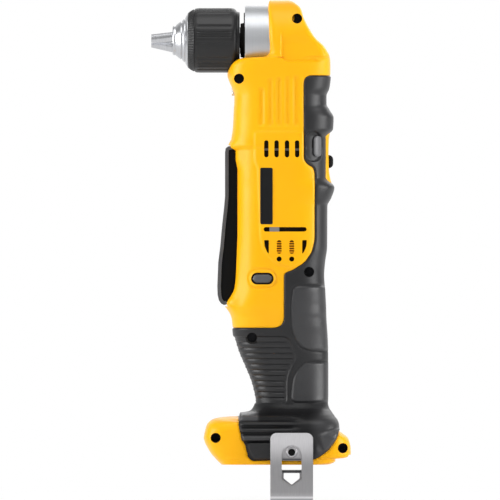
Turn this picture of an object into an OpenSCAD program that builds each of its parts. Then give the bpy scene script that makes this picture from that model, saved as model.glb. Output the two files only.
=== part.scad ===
// Cordless right angle drill, as a bare tool without its battery pack.
// The motor and gearbox turn about Z, the spindle turns about X, and the chuck points along -X.
// The origin is on the motor axis, at the underside of the foot where the battery pack seats.

/* [Layout] */
// Height of the spindle axis above the underside of the foot
spindle_z = 269; // [267:1:285]
// Running clearance of pieces that turn or slide in each other
fit_gap = 0.05; // [0.03:0.01:0.08]
// Clearance between a fixed piece and the seat that carries it
seat_gap = 0.2; // [0.1:0.05:0.3]

/* [Housing] */
// Wall of the housing shells
wall = 2.4; // [1.8:0.1:2.8]
// Thickness of the rubber overmould
rubber_t = 1.6; // [1.2:0.1:2]
// Radius of the round head about the spindle axis
head_r = 25.5; // [25:0.1:27]
// Reach of the head's flat front ahead of the motor axis
head_front = 7.5; // [6:0.5:9]
// Reach of the motor body ahead of the motor axis
body_front = 28; // [27.5:0.5:30]
// Reach of the motor body behind the motor axis
body_back = 29.8; // [29.4:0.2:32]
// Half width of the motor body
body_half = 27; // [26.5:0.5:29]
// Reach of the slim part of the handle ahead of the motor axis
handle_front = 15.9; // [14:0.1:18]
// Reach of the handle behind the motor axis
handle_back = 30.5; // [29:0.5:32]
// Half width of the slim part of the handle
handle_half = 18.5; // [17:0.5:20]
// Reach of the foot ahead of the motor axis
foot_front = 48.9; // [47:0.1:52]
// Reach of the foot behind the motor axis
foot_back = 45; // [44.5:0.5:48]
// Half width of the foot
foot_half = 37; // [36:0.5:40]
// Radius of the recesses for the heads of the housing screws
recess_r = 3.2; // [3:0.1:3.6]
// Width of a cooling vent
vent_w = 2.8; // [2:0.1:3.2]

/* [Battery slot] */
// Half width of the mouth between the two rails
slot_half = 24; // [22:0.5:25]
// Depth of the undercut behind each rail
rail_lip = 3.5; // [2:0.5:4]
// Thickness of a rail
rail_t = 2.6; // [2:0.1:3]
// Height of the slot's ceiling
slot_h = 6.2; // [5.5:0.1:6.2]

/* [Gear case] */
// Radius of the round gear case, which shows as a collar behind the chuck
case_r = 22; // [21.6:0.1:22.6]
// Reach of the collar ahead of the motor axis
case_front = 22.2; // [21.8:0.1:22.4]
// Module of the bevel gears
bevel_module = 1.2; // [1.1:0.05:1.2]
// Teeth of the bevel pinion
pinion_teeth = 12; // [11:1:12]
// Teeth of the bevel gear on the spindle
bevel_teeth = 24; // [22:1:24]

/* [Gearbox] */
// Module of the planetary gears
gear_module = 0.7; // [0.65:0.01:0.7]
// Inner radius of the gearbox sleeve
sleeve_in = 20; // [20:0.1:20.4]
// Outer radius of the gearbox sleeve
sleeve_out = 22; // [21.6:0.1:22.4]
// Travel of the shift ring between the two speeds
shift_travel = 5; // [3:0.5:5]

/* [Motor] */
// Radius of the motor can
motor_r = 18.5; // [17.8:0.1:18.6]
// Length of the motor can
motor_len = 62; // [60:1:63]
// Radius of the motor shaft
shaft_r = 2.5; // [2:0.1:2.5]

/* [Chuck] */
// Outer radius of the chuck sleeve
chuck_r = 20.5; // [20.2:0.1:20.8]
// Number of flutes around the chuck sleeve
flutes = 24; // [12:1:28]
// Radius of a round jaw
jaw_r = 3.3; // [3:0.1:3.4]
// Lean of the jaws against the spindle axis, in degrees
jaw_lean = 13; // [12.5:0.1:13.2]
// Length of a jaw
jaw_len = 36; // [33:1:36]
// Radius of the bit that the jaws hold as drawn
grip_r = 1.5; // [1.3:0.1:2]

/* [Trigger and controls] */
// Half width of the paddle trigger
paddle_half = 13; // [11:0.5:13.5]
// Swing of the paddle when it is pressed home, in degrees
paddle_swing = 4.5; // [3:0.5:4.5]
// Radius of the paddle's pivot pin
pin_r = 1.5; // [1:0.1:1.7]
// Radius of the switch plunger
plunger_r = 3; // [2:0.1:3.2]
// Length of the oval forward and reverse button
button_len = 13; // [11:0.5:13]
// Height of the oval forward and reverse button
button_h = 6.2; // [5:0.1:6.4]

/* [Belt hook] */
// Width of the belt hook
hook_w = 27; // [24:1:28]
// Thickness of the belt hook strip
hook_t = 2; // [1.6:0.1:2.4]
// Gap between the two legs of the belt hook
belt_gap = 8; // [7:0.5:10]
// Height of the outer leg above the underside of the foot
hook_top = 19; // [16:1:20]
// Radius of the threaded bore in a hook insert
insert_bore_r = 2; // [1.5:0.1:2]

/* [Hidden] */
$fn = 36;
// Names of the sub-parts
// Heights of the drive train, counted down from the spindle axis
case_floor_z = spindle_z - 28;
carrier_2_z = spindle_z - 32.5;
planets_2_z = spindle_z - 43;
carrier_1_z = spindle_z - 48.4;
planets_1_z = spindle_z - 57.8;
sleeve_floor_z = spindle_z - 62.4;
motor_top = sleeve_floor_z - 0.3;
motor_bottom = motor_top - motor_len;
bell_bottom = motor_bottom - 12;
body_low = motor_bottom - 56.3;
neck_low = 38.7;
// Heights of the trigger, the button and the speed selector
pivot_z = spindle_z - 72;
paddle_bottom = motor_bottom - 43.3;
button_z = motor_bottom - 26.5;
switch_top = button_z - 4.5;
switch_bottom = switch_top - 21;
plunger_z = switch_top - 8.5;
selector_z = spindle_z - 77;
ring_z = spindle_z - 47;
// Places across the body, along X
floor_x = -(motor_r + 2.5);
pivot_x = floor_x - 4.5;
button_x = -11.2;
arm_x = sleeve_out + 1.2;
case_back = 6;
boss_back = 14.5;
// Gear sizes
pressure = 25;
addendum = 0.95;
dedendum = 1.25;
gear_slack = 0.1;
sun_1 = 12;
planet_1 = 18;
sun_2 = 24;
planet_2 = 12;
ring_n = 48;
orbit_1 = (sun_1 + planet_1) / 2 * gear_module;
orbit_2 = (sun_2 + planet_2) / 2 * gear_module;
bevel_near = 0.618;
pinion_r = pinion_teeth * bevel_module / 2;
bevel_r = bevel_teeth * bevel_module / 2;
// Chuck places along X
chuck_back = -(case_front + 3.4);
chuck_nose = chuck_back - 42.6;
jaw_tip = chuck_nose - 13.5;
jaw_start = grip_r - 0.35;
grip_land = 12.8;
// Belt hook places
hook_x = 7.3;
hook_z = 8;
hook_y = -(foot_half + 0.3);
insert_y = foot_half - 3.6;
insert_r = 3.5;
bend_z = -17.5;
// Housing screws: place along X, height, and depth of the recess from the left side
screws = [[-26, spindle_z - 24.5, 8], [10.8, spindle_z + 13.6, 8], [18.4, motor_bottom - 22.3, 12],
    [-17.8, body_low - 7.7, 10], [-40.8, 17, 14], [39.7, 10.5, 14]];

// Stations of the body: height, front reach, back reach, half width, squareness of the section
stations = [
    [0, foot_front - 10.2, foot_back - 11.3, foot_half - 1, 6],
    [2, foot_front - 8.4, foot_back - 9, foot_half - 0.4, 6],
    [4.4, foot_front - 6.4, foot_back - 5, foot_half, 6],
    [7, foot_front - 4.4, foot_back - 0.7, foot_half, 6],
    [10.5, foot_front - 2.3, foot_back, foot_half, 6],
    [14, foot_front - 0.7, foot_back - 0.7, foot_half, 6],
    [17, foot_front, foot_back - 2.5, foot_half, 6],
    [19.5, foot_front, foot_back - 5.5, foot_half, 6],
    [21.5, foot_front, foot_back - 7.5, foot_half, 6],
    [25.4, foot_front - 1.3, foot_back - 7.7, foot_half - 1, 5.5],
    [28, foot_front - 3.9, foot_back - 8.6, foot_half - 3, 5],
    [30, foot_front - 7.4, foot_back - 10, foot_half - 5.5, 4.5],
    [31.5, foot_front - 12.9, foot_back - 11, foot_half - 8, 4],
    [33, handle_front + 10.8, handle_back + 2.5, handle_half + 7, 3.4],
    [35, handle_front + 3.6, handle_back + 1.3, handle_half + 3, 2.8],
    [neck_low, handle_front, handle_back, handle_half + 0.5, 2.5],
    [neck(0.11), handle_front + 0.6, handle_back, handle_half, 2.5],
    [neck(0.27), handle_front + 2.5, handle_back, handle_half, 2.5],
    [neck(0.47), handle_front + 6.3, handle_back, handle_half + 0.5, 2.5],
    [neck(0.68), handle_front + 10.6, handle_back, handle_half + 2, 2.5],
    [neck(0.88), handle_front + 13.8, handle_back - 0.3, handle_half + 4, 2.6],
    [body_low, body_front + 2.5, body_back, body_half - 3, 2.7],
    [motor_bottom - 51.6, body_front + 3.2, body_back - 0.3, body_half - 2, 2.7],
    [motor_bottom - 47.8, body_front + 5, body_back - 0.4, body_half - 1.3, 2.8],
    [motor_bottom - 44, body_front + 5.5, body_back - 0.6, body_half - 0.8, 2.8],
    [motor_bottom - 38.9, body_front + 3, body_back - 0.9, body_half - 0.4, 2.9],
    [motor_bottom - 32.3, body_front + 0.6, body_back - 1.4, body_half, 3],
    [motor_bottom - 24.3, body_front, body_back - 1.8, body_half, 3],
    [motor_bottom - 16.3, body_front, body_back - 1.2, body_half, 3],
    [motor_bottom - 6.3, body_front, body_back, body_half, 3],
    [spindle_z - 105, body_front, body_back, body_half, 3],
    [spindle_z - 100, body_front, body_back + 2.4, body_half, 3],
    [spindle_z - 93.5, body_front, body_back + 4.4, body_half, 3],
    [spindle_z - 87, body_front, body_back - 0.6, body_half, 3],
    [spindle_z - 68.5, body_front, body_back - 0.6, body_half, 3],
    [spindle_z - 65.5, body_front + 4.5, body_back - 0.6, body_half, 3],
    [spindle_z - 61.5, body_front + 3.6, body_back - 0.6, body_half, 3],
    [spindle_z - 56, body_front + 2.8, body_back + 3.6, body_half - 0.2, 3],
    [spindle_z - 49.3, body_front + 2.5, body_back + 3.9, body_half - 0.5, 3],
    [spindle_z - 44.2, body_front + 2.2, body_back + 1.3, body_half - 0.7, 3],
    [spindle_z - 40.5, body_front + 1.9, body_back - 0.6, body_half - 0.8, 3],
    [spindle_z - 35.3, body_front + 1.8, body_back - 0.6, head_r + 0.6, 3],
    [spindle_z - 30.5, body_front + 3, body_back + 1.2, head_r + 0.4, 3.1],
    [spindle_z - 26, body_front + 5, body_back + 2.2, head_r + 0.2, 3.2],
    [spindle_z - 22, body_front + 6, body_back + 2.6, head_r, 3.4],
    [spindle_z - 16.3, body_front + 4.4, body_back + 2.6, head_r, 3.8],
    [spindle_z - 12.5, body_front + 0.6, body_back + 2.5, head_r, 4.2],
    [spindle_z - 11.2, body_front - 4, body_back + 2.2, head_r, 4.6],
    [spindle_z - 10.6, head_front + 3.5, body_back + 2.1, head_r, 5],
    [spindle_z - 9.4, head_front, body_back + 1.8, head_r, 5.5],
    [spindle_z - 7, head_front, body_back + 0.7, head_r, 6],
    [spindle_z - 3, head_front, body_back - 1.9, head_r, 7],
    [spindle_z + 1, head_front, body_back - 5.7, head_r, 8],
    [spindle_z + 4.7, head_front, body_back - 8.8, head_half(4.7), 8],
    [spindle_z + 8.5, head_front, body_back - 11.4, head_half(8.5), 8],
    [spindle_z + 12.3, head_front, body_back - 13.3, head_half(12.3), 8],
    [spindle_z + 15, head_front, body_back - 14.8, head_half(15), 8],
    [spindle_z + 18, head_front, body_back - 15.2, head_half(18), 8],
    [spindle_z + head_r - 4.6, head_front, body_back - 15.6, head_half(head_r - 4.6), 8],
    [spindle_z + head_r - 2.6, head_front - 0.2, body_back - 17.4, head_half(head_r - 2.6), 8],
    [spindle_z + head_r - 1.2, head_front - 0.5, body_back - 19, head_half(head_r - 1.2), 8],
    [spindle_z + head_r - 0.2, head_front - 1, body_back - 21, head_half(head_r - 0.2), 8]];
front_at = [for (s = stations) [s[0], s[1]]];
back_at = [for (s = stations) [s[0], s[2]]];
half_at = [for (s = stations) [s[0], s[3]]];
square_at = [for (s = stations) [s[0], s[4]]];

// Heights at which the hollow inside the body takes its sections
cavity_z = [9, 16, 24, 30, 36, neck(0.15), neck(0.43), neck(0.84), motor_bottom - 51.3,
    motor_bottom - 35.3, motor_bottom - 15.3,
    spindle_z - 105, spindle_z - 94, spindle_z - 87, spindle_z - 62, spindle_z - 53, spindle_z - 44,
    spindle_z - 38, spindle_z - 30, spindle_z - 20];

// Edge of the rubber overmould on the side of the tool, as places along X and heights
rubber_edge = [[15.2, spindle_z - 26.5], [16.2, spindle_z - 23.8], [18.6, spindle_z - 22.6],
    [60, spindle_z - 22.6], [60, 22.8], [38, 22.8], [35.6, 16.5], [30.5, 9], [22.2, 3.2],
    [-17.6, 2.2], [-20.4, 4.8], [-21.6, 11], [-24, 16.5], [-26.2, 24.8], [-26.2, 33.6],
    [-60, 33.6], [-60, body_low - 1.6], [-3.8, body_low - 1.6], [0, body_low - 0.2],
    [2.2, body_low + 2.6], [2.6, motor_bottom - 24.3], [3.8, motor_bottom - 22.5],
    [8.3, motor_bottom - 21.1], [15.9, motor_bottom - 16], [20.3, motor_bottom - 9.7],
    [22.2, motor_bottom - 2.1], [22.2, spindle_z - 83.6], [21, spindle_z - 80.4],
    [17.8, spindle_z - 79.2], [15.2, spindle_z - 76]];

// Height at a share of the way up the slim part of the handle
function neck(share) = neck_low + share * (body_low - neck_low);

// Half width of the round head at a height above the spindle axis
function head_half(up) = sqrt(head_r * head_r - up * up);

// Signed power, for the rounded sections
function spow(v, e) = sign(v) * pow(abs(v), e);

// Half width of the body at one place along X and one height
function side_y(x, z) =
    let (f = lookup(z, front_at), b = lookup(z, back_at), n = lookup(z, square_at))
    let (u = (x - (b - f) / 2) / ((f + b) / 2))
    lookup(z, half_at) * pow(max(0.001, 1 - pow(abs(u), n)), 1 / n);

// One closed section of the body, drawn in by an inset
function section(z, f, b, h, n, inset, count = 28) =
    [for (k = [0:count - 1])
        let (a = 360 / count * k, c = spow(cos(a), 2 / n), s = spow(sin(a), 2 / n))
        [(b - f) / 2 + ((f + b) / 2 - inset) * c, max(0.4, h - inset) * s, z]];

// Smallest value of a table within a reach up and down of a height
function least(z, reach, table) =
    min(lookup(z - reach, table), lookup(z, table), lookup(z + reach, table));

// Sections of the cavity, drawn in so that the wall keeps its thickness upward too
function cavity_section(z, inset) =
    section(z, least(z, inset, front_at), least(z, inset, back_at), least(z, inset, half_at),
        lookup(z, square_at), inset, 16);

// Radius of a polygon that a circle just fits inside
function around(r, n) = r / cos(180 / n);

// A point from a radius and an angle
function polar(r, a) = [r * cos(a), r * sin(a)];

// The involute function, in degrees
function involute(a) = tan(a) * 180 / PI - a;

// Half the angle that a tooth fills at one radius
function flank(r, pitch_r, n, slack) =
    let (base_r = pitch_r * cos(pressure), a = r > base_r ? acos(base_r / r) : 0)
    90 / n - slack / pitch_r * 90 / PI + involute(pressure) - involute(a);

// Outline of a spur gear with involute teeth
function gear_outline(n, top, foot, slack) =
    let (r0 = n * gear_module / 2)
    let (rs = [for (i = [0:3]) r0 - foot * gear_module + (top + foot) * gear_module * i / 3])
    [for (t = [0:n - 1], i = [0:7])
        let (r = rs[i < 4 ? i : 7 - i], side = i < 4 ? -1 : 1)
        polar(r, 360 * t / n + side * flank(r, r0, n, slack))];

// Outline of a bevel gear, projected from the cone's apex onto a plane at one distance from it
function bevel_outline(n, mate, plane) =
    let (r0 = n * bevel_module / 2, h = mate * bevel_module / 2, cone = atan2(n, mate))
    let (back_r = r0 / cos(cone), steps = [-1.25, -0.7, -0.15, 0.4, 0.95])
    [for (t = [0:n - 1], i = [0:9])
        let (a = steps[i < 5 ? i : 9 - i] * bevel_module, side = i < 5 ? -1 : 1)
        let (r = (r0 + a * cos(cone)) / (h - a * sin(cone)) * plane)
        polar(r, 360 * t / n + side * flank(back_r + a, back_r, n / cos(cone), 0.16) / cos(cone))];

// Ring of points around one point of a wire, across its direction
function wire_ring(path, i, r) =
    let (t = path[min(i + 1, len(path) - 1)] - path[max(i - 1, 0)])
    let (u = cross(t, [0, 1, 0]) / norm(cross(t, [0, 1, 0])), v = cross(t, u) / norm(t))
    [for (k = [0:7]) path[i] + r * (cos(45 * k) * u + sin(45 * k) * v)];

// A point on a curve from one place to another that leaves both along Z
function rise(a, b, t) =
    let (s = t * t * (3 - 2 * t))
    [a[0] + (b[0] - a[0]) * s, a[1] + (b[1] - a[1]) * s, a[2] + (b[2] - a[2]) * t];

// Faces of a stack of rings that all have the same number of points
function stack_faces(rings, n) =
    concat(
        [[for (k = [0:n - 1]) k]],
        [[for (k = [n - 1:-1:0]) (rings - 1) * n + k]],
        [for (i = [0:rings - 2], k = [0:n - 1])
            [i * n + k, (i + 1) * n + k, (i + 1) * n + (k + 1) % n]],
        [for (i = [0:rings - 2], k = [0:n - 1])
            [i * n + k, (i + 1) * n + (k + 1) % n, i * n + (k + 1) % n]]);

// A solid through a stack of rings
module stack(rings) {
    n = len(rings[0]);
    points = [for (ring = rings, p = ring) p];
    polyhedron(points, stack_faces(len(rings), n), convexity = 6);
}

// The whole body, drawn in by an inset
module body(inset = 0) {
    stack([for (s = stations) section(s[0], s[1], s[2], s[3], s[4], inset)]);
}

// The hollow of the handle and the motor body
module cavity() {
    stack([for (z = cavity_z) cavity_section(z, wall + rubber_t)]);
}

// Places a child that is drawn around Z onto the spindle axis
module on_spindle() {
    translate([0, 0, spindle_z])
        rotate([0, 90, 0])
            children();
}

// A solid of revolution about the spindle axis, from points of radius and place along X
module spindle_turned(points) {
    on_spindle()
        rotate_extrude()
            polygon(points);
}

// A cylinder along X at one height, from one place to another
module rod_x(r, from, to, z = spindle_z) {
    translate([from, 0, z])
        rotate([0, 90, 0])
            cylinder(r = r, h = to - from);
}

// A cylinder along Y at one place, from one side to the other
module rod_y(r, x, z, from, to) {
    translate([x, to, z])
        rotate([90, 0, 0])
            cylinder(r = r, h = to - from);
}

// A ring or tube about Z
module tube(outer, inner, from, to) {
    translate([0, 0, from])
        difference() {
            cylinder(r = outer, h = to - from);
            translate([0, 0, -1])
                cylinder(r = inner, h = to - from + 2);
        }
}

// A box from its two corners
module box(low, high) {
    translate(low)
        cube(high - low);
}

// A plate across the tool: an outline in X and Z, from one side to the other
module side_plate(points, from, to) {
    translate([0, to, 0])
        rotate([90, 0, 0])
            linear_extrude(to - from)
                polygon(points);
}

// A slot with round ends, cut through the sides of the body
module vent(x0, z0, x1, z1, w = vent_w) {
    hull() {
        rod_y(w / 2, x0, z0, -40, 40, $fn = 8);
        rod_y(w / 2, x1, z1, -40, 40, $fn = 8);
    }
}

// The oval bar of the forward and reverse button
module oval_bar(long, high, from, to) {
    flat = (long - high) / 2;
    rod_y(high / 2, button_x - flat, button_z, from, to);
    rod_y(high / 2, button_x + flat, button_z, from, to);
    box([button_x - flat, from, button_z - high / 2], [button_x + flat, to, button_z + high / 2]);
}

// A patch of the body's left side between two depths under its skin
module side_patch(x0, x1, z0, z1, under, over) {
    xs = [for (i = [0:4]) x0 + (x1 - x0) * i / 4];
    rows = [for (i = [0:6]) z0 + (z1 - z0) * i / 6];
    stack([for (z = rows) concat(
        [for (x = xs) [x, -side_y(x, z) - over, z]],
        [for (i = [4:-1:0]) [xs[i], -side_y(xs[i], z) + under, z]])]);
}

// The zone of the rubber overmould, right through the tool
module rubber_zone(grow = 0) {
    rotate([90, 0, 0])
        linear_extrude(200, center = true)
            offset(delta = grow)
                polygon(rubber_edge);
}

// One side of the middle plane
module half_space(side) {
    box([-200, side < 0 ? -200 : 0, -100], [200, side < 0 ? 0 : 200, 400]);
}

// The room that the gear case takes, with a clearance all round
module case_room(gap) {
    rod_x(case_r + gap, -case_front - 20, case_back + gap);
    rod_x(9 + gap, 0, boss_back + gap);
    translate([0, 0, case_floor_z - 2])
        cylinder(r = 20 + gap, h = 17 + gap);
    translate([0, 0, case_floor_z])
        cylinder(r = 17 + gap, h = 25.5 + gap);
}

// Ribs, bosses and walls inside the housing
module inner_frame() {
    difference() {
        for (z = [motor_bottom + 5, motor_top - 8, sleeve_floor_z + 6, case_floor_z - 7])
            box([-40, -40, z], [40, 40, z + 2.4]);
        box([arm_x - 2, -5, 0], [60, 5, spindle_z]);
    }
    difference() {
        box([-40, -40, switch_bottom - 2.6], [40, 40, switch_bottom - seat_gap]);
        box([-8, -8, 0], [6, 8, spindle_z]);
    }
    for (s = screws)
        rod_y(recess_r + 1.4, s[0], s[1], -40, 40, $fn = 16);
    box([-60, -paddle_half - 3, paddle_bottom - 4], [floor_x + 1.8, paddle_half + 3, pivot_z + 9]);
    for (side = [-1, 1])
        box([hook_x - 6, side * (insert_y - 0.4) - 6, 0], [hook_x + 6, side * (insert_y - 0.4) + 6, 15]);
}

// Everything that is cut out of both housing shells
module housing_cuts() {
    case_room(0.25);
    rod_x(chuck_r + 0.8, -120, -case_front + 0.5);
    // paddle channel and pivot
    box([-80, -paddle_half - 0.6, paddle_bottom - 1.6],
        [floor_x, paddle_half + 0.6, pivot_z + 6.5]);
    rod_y(pin_r + fit_gap, pivot_x, pivot_z, -paddle_half - 2.8, paddle_half + 2.8);
    rod_x(plunger_r + 0.4, -60, floor_x + 8, plunger_z);
    // seats of the gearbox sleeve and the motor
    translate([0, 0, sleeve_floor_z - 0.5])
        cylinder(r = around(sleeve_out + seat_gap, 24), h = 40, $fn = 24);
    translate([0, 0, bell_bottom - 3])
        cylinder(r = around(motor_r + seat_gap, 24), h = motor_len + 16, $fn = 24);
    // button and selector
    oval_bar(button_len + 0.6, button_h + 0.6, -60, 60);
    box([arm_x - 2, -3.4, selector_z - 4.6], [60, 3.4, selector_z + 5.4 + shift_travel]);
    box([arm_x - 0.6, -3.2, selector_z], [arm_x + 2.5, 3.2, ring_z + 7.8 + shift_travel]);
    // battery slot and the hole of the terminal block
    box([-33, -slot_half, -5], [80, slot_half, slot_h]);
    box([-33, -slot_half - rail_lip, rail_t], [80, slot_half + rail_lip, slot_h]);
    box([-30.2, -10.2, 0], [-17.8, 10.2, 12]);
    box([hook_x - 7.5, -80, -5], [hook_x + 7.5, -slot_half - rail_lip - 2, 2]);
    for (side = [-1, 1])
        rod_y(insert_r + fit_gap, hook_x, hook_z, side * foot_half - 7, side * foot_half + 7);
    // work light
    rod_x(2.6 + seat_gap, -60, -20, spindle_z - 32.5);
    // cooling vents
    for (x = [-8.7, -2.2, 4.4, 10.8])
        vent(x, spindle_z - 73, x, spindle_z - 65);
    vent(-9, motor_bottom + 4.7, 15.4, motor_bottom + 4.7);
    for (x = [-9.2, -0.8, 7.2, 14.9])
        vent(x, motor_bottom - 9.3, x, motor_bottom - 3.3);
    // screws: clearance for the shank, and the recess for the head on the left
    for (s = screws) {
        rod_y(around(1.55, 12), s[0], s[1], -60, 14, $fn = 12);
        rod_y(recess_r, s[0], s[1], -80, -s[2], $fn = 16);
    }
}

// One housing shell
module housing(side) {
    intersection() {
        difference() {
            union() {
                difference() {
                    body();
                    difference() {
                        rubber_zone();
                        body(rubber_t);
                    }
                    cavity();
                }
                intersection() {
                    inner_frame();
                    body(rubber_t + 0.4);
                }
            }
            housing_cuts();
            side_patch(-12.8, -5, spindle_z - 115.2, spindle_z - 80.8, 0.6, 3);
        }
        half_space(side);
    }
}

// A shallow groove across the front of the handle, which follows its side
module groove(z, side) {
    from = 4 - lookup(z, front_at);
    step = (3 - from) / 3;
    for (i = [0:2])
        hull()
            for (x = [from + i * step, from + (i + 1) * step])
                translate([x, side * side_y(x, z), z])
                    sphere(0.7, $fn = 6);
}

// Rubber overmould on one housing shell
module grip(side) {
    intersection() {
        difference() {
            intersection() {
                body();
                rubber_zone(-0.05);
            }
            body(rubber_t - 0.05);
            case_room(0.25);
            box([arm_x - 2, -3.4, selector_z - 4.6], [60, 3.4, selector_z + 5.4 + shift_travel]);
            for (s = screws)
                rod_y(recess_r, s[0], s[1], -80, 0, $fn = 16);
            for (y = [-1, 1])
                rod_y(insert_r + 1.5, hook_x, hook_z, y * foot_half - 5, y * foot_half + 5);
            box([hook_x - 7.5, -80, -5], [hook_x + 7.5, 0, 3.4]);
            for (z = [neck(0.09):5:neck(0.81)])
                groove(z, side);
        }
        half_space(side);
    }
}

// Housing shells

module housing_left() {
    color("gold")
        housing(-1);
}

module housing_right() {
    color("gold")
        housing(1);
}

module grip_left() {
    color("dimgray")
        grip(-1);
}

module grip_right() {
    color("dimgray")
        grip(1);
}

module housing_screws() {
    color("slategray")
        for (s = screws)
            difference() {
                union() {
                    rod_y(2.7, s[0], s[1], -s[2] - 2.2, -s[2] - 0.05);
                    rod_y(1.5, s[0], s[1], -s[2] - 0.1, 13);
                }
                rod_y(1.2, s[0], s[1], -s[2] - 3, -s[2] - 1, $fn = 6);
            }
}

module name_plate() {
    color("black")
        side_patch(-12.6, -5.2, spindle_z - 115, spindle_z - 81, 0.5, 0.25);
}

module selector_plate() {
    color("gold")
        difference() {
            box([body_back - 0.4, -10, selector_z - 9], [body_back + 2.8, 10, selector_z + 14]);
            box([0, -5, selector_z - 5], [80, 5, selector_z + 5.8 + shift_travel]);
        }
}

// Gear case and gearbox

module gear_case() {
    color("silver")
        difference() {
            union() {
                rod_x(case_r, -case_front, case_back);
                rod_x(9, 0, boss_back);
                translate([0, 0, case_floor_z])
                    cylinder(r = 20, h = 15);
                translate([0, 0, case_floor_z])
                    cylinder(r = 17, h = 25.5);
            }
            rod_x(14.02, -case_front - 1, -12.5);
            rod_x(bevel_r + 2.2, -12.6, 3);
            rod_x(7.02, 0, 12.5);
            translate([0, 0, case_floor_z - 1])
                cylinder(r = 9.02, h = 12);
            translate([0, 0, case_floor_z + 10])
                cylinder(r = pinion_r + 2, h = 12);
        }
}

module gearbox_sleeve() {
    color("gray")
        difference() {
            tube(sleeve_out, sleeve_in, sleeve_floor_z + 2.6, case_floor_z);
            box([10, -3.2, ring_z + 4.4], [40, 3.2, ring_z + 8.2 + shift_travel]);
        }
    color("gray")
        tube(sleeve_out, 6.8, sleeve_floor_z, sleeve_floor_z + 2.6);
}

module front_bearing_outer() {
    color("lightgray")
        on_spindle()
            rotate_extrude()
                difference() {
                    translate([12.9, -21])
                        square([1.1, 8]);
                    translate([11.1, -17])
                        circle(2.35);
                }
}

module front_bearing_inner() {
    color("lightgray")
        on_spindle()
            rotate_extrude()
                difference() {
                    translate([6.02, -21])
                        square([3.28, 8]);
                    translate([11.1, -17])
                        circle(2.35);
                }
}

module front_bearing_balls() {
    color("whitesmoke")
        on_spindle()
            for (i = [0:8])
                rotate(40 * i)
                    translate([11.1, 0, -17])
                        sphere(2.3);
}

module rear_bush() {
    color("peru")
        spindle_turned([[4 + fit_gap, 5.5], [7, 5.5], [7, 12.3], [4 + fit_gap, 12.3]]);
}

module pinion_bush() {
    color("peru")
        tube(9, 5 + fit_gap, case_floor_z + 0.4, case_floor_z + 9.8);
}

module first_ring_gear() {
    color("darkgray")
        translate([0, 0, planets_1_z])
            linear_extrude(9.1)
                difference() {
                    circle(sleeve_in - 0.1);
                    rotate(180 / ring_n)
                        polygon(gear_outline(ring_n, dedendum, addendum, -gear_slack));
                }
}

// Motor

module motor_can() {
    color("lightsteelblue")
        difference() {
            union() {
                tube(motor_r, motor_r - 1.2, motor_bottom, motor_top - 1.4);
                tube(motor_r, 5.02, motor_top - 1.4, motor_top);
                tube(6.5, 5.02, motor_top - 6, motor_top + 1.6);
            }
            for (a = [45:90:315])
                rotate(a)
                    box([motor_r - 3, -5, motor_top - 14], [motor_r + 1, 5, motor_top - 9]);
        }
}

module motor_magnets() {
    color("dimgray")
        for (a = [0, 180])
            rotate(a)
                difference() {
                    tube(motor_r - 1.3, motor_r - 4.7, motor_bottom + 6, motor_top - 20);
                    box([-40, -40, 0], [40, 3, spindle_z]);
                }
}

module motor_end_bell() {
    color("black")
        difference() {
            union() {
                tube(motor_r, 7.6, bell_bottom, motor_bottom);
                tube(8, 4.02, bell_bottom, bell_bottom + 2.6);
            }
            box([-motor_r + 1.6, -2.7, motor_bottom - 5.2], [motor_r - 1.6, 2.7, motor_bottom + 1]);
        }
}

module carbon_brushes() {
    color("darkslategray")
        for (side = [-1, 1])
            box([side * 10.4 - 5.2, -2.5, motor_bottom - 5], [side * 10.4 + 5.2, 2.5, motor_bottom - 0.4]);
}

module motor_bushes() {
    color("peru")
        tube(5, shaft_r + fit_gap, motor_top - 5.8, motor_top + 1.4);
    color("peru")
        tube(4, shaft_r + fit_gap, bell_bottom, bell_bottom + 2.6);
}

module motor_shaft() {
    color("silver")
        translate([0, 0, bell_bottom - 2])
            cylinder(r = shaft_r, h = planets_1_z + 8.6 - bell_bottom + 2);
}

module armature() {
    color("sienna")
        translate([0, 0, motor_bottom + 9])
            linear_extrude(motor_len - 31)
                difference() {
                    circle(motor_r - 5.2);
                    circle(shaft_r + 0.02);
                    for (a = [0:30:330])
                        rotate(a)
                            translate([motor_r - 7.6, 0])
                                square([5, 1.6], center = true);
                }
}

module commutator() {
    color("chocolate")
        difference() {
            tube(5, shaft_r + 0.02, bell_bottom + 2.8, motor_bottom + 3);
            for (a = [0:45:315])
                rotate(a + 22.5)
                    box([4.2, -0.2, 0], [6, 0.2, spindle_z]);
        }
}

module cooling_fan() {
    color("black")
        translate([0, 0, motor_top - 14.5]) {
            tube(4.5, shaft_r + 0.02, 0, 7);
            tube(13.5, 4.4, 0, 1.4);
            for (a = [0:30:330])
                rotate(a)
                    box([4.2, -0.6, 1.3], [13.4, 0.6, 6.2]);
        }
}

module motor_pinion() {
    color("silver")
        translate([0, 0, planets_1_z])
            linear_extrude(8.6)
                difference() {
                    polygon(gear_outline(sun_1, addendum, dedendum, gear_slack));
                    circle(shaft_r + 0.02);
                }
}

// Planetary gears

module first_planet(angle) {
    color("darkgray")
        rotate(angle)
            translate([orbit_1, 0, planets_1_z])
                linear_extrude(9)
                    difference() {
                        rotate(180 / planet_1)
                            polygon(gear_outline(planet_1, addendum, dedendum, gear_slack));
                        circle(2 + fit_gap);
                    }
}

module first_planet_1() {
    first_planet(0);
}

module first_planet_2() {
    first_planet(120);
}

module first_planet_3() {
    first_planet(240);
}

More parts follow.
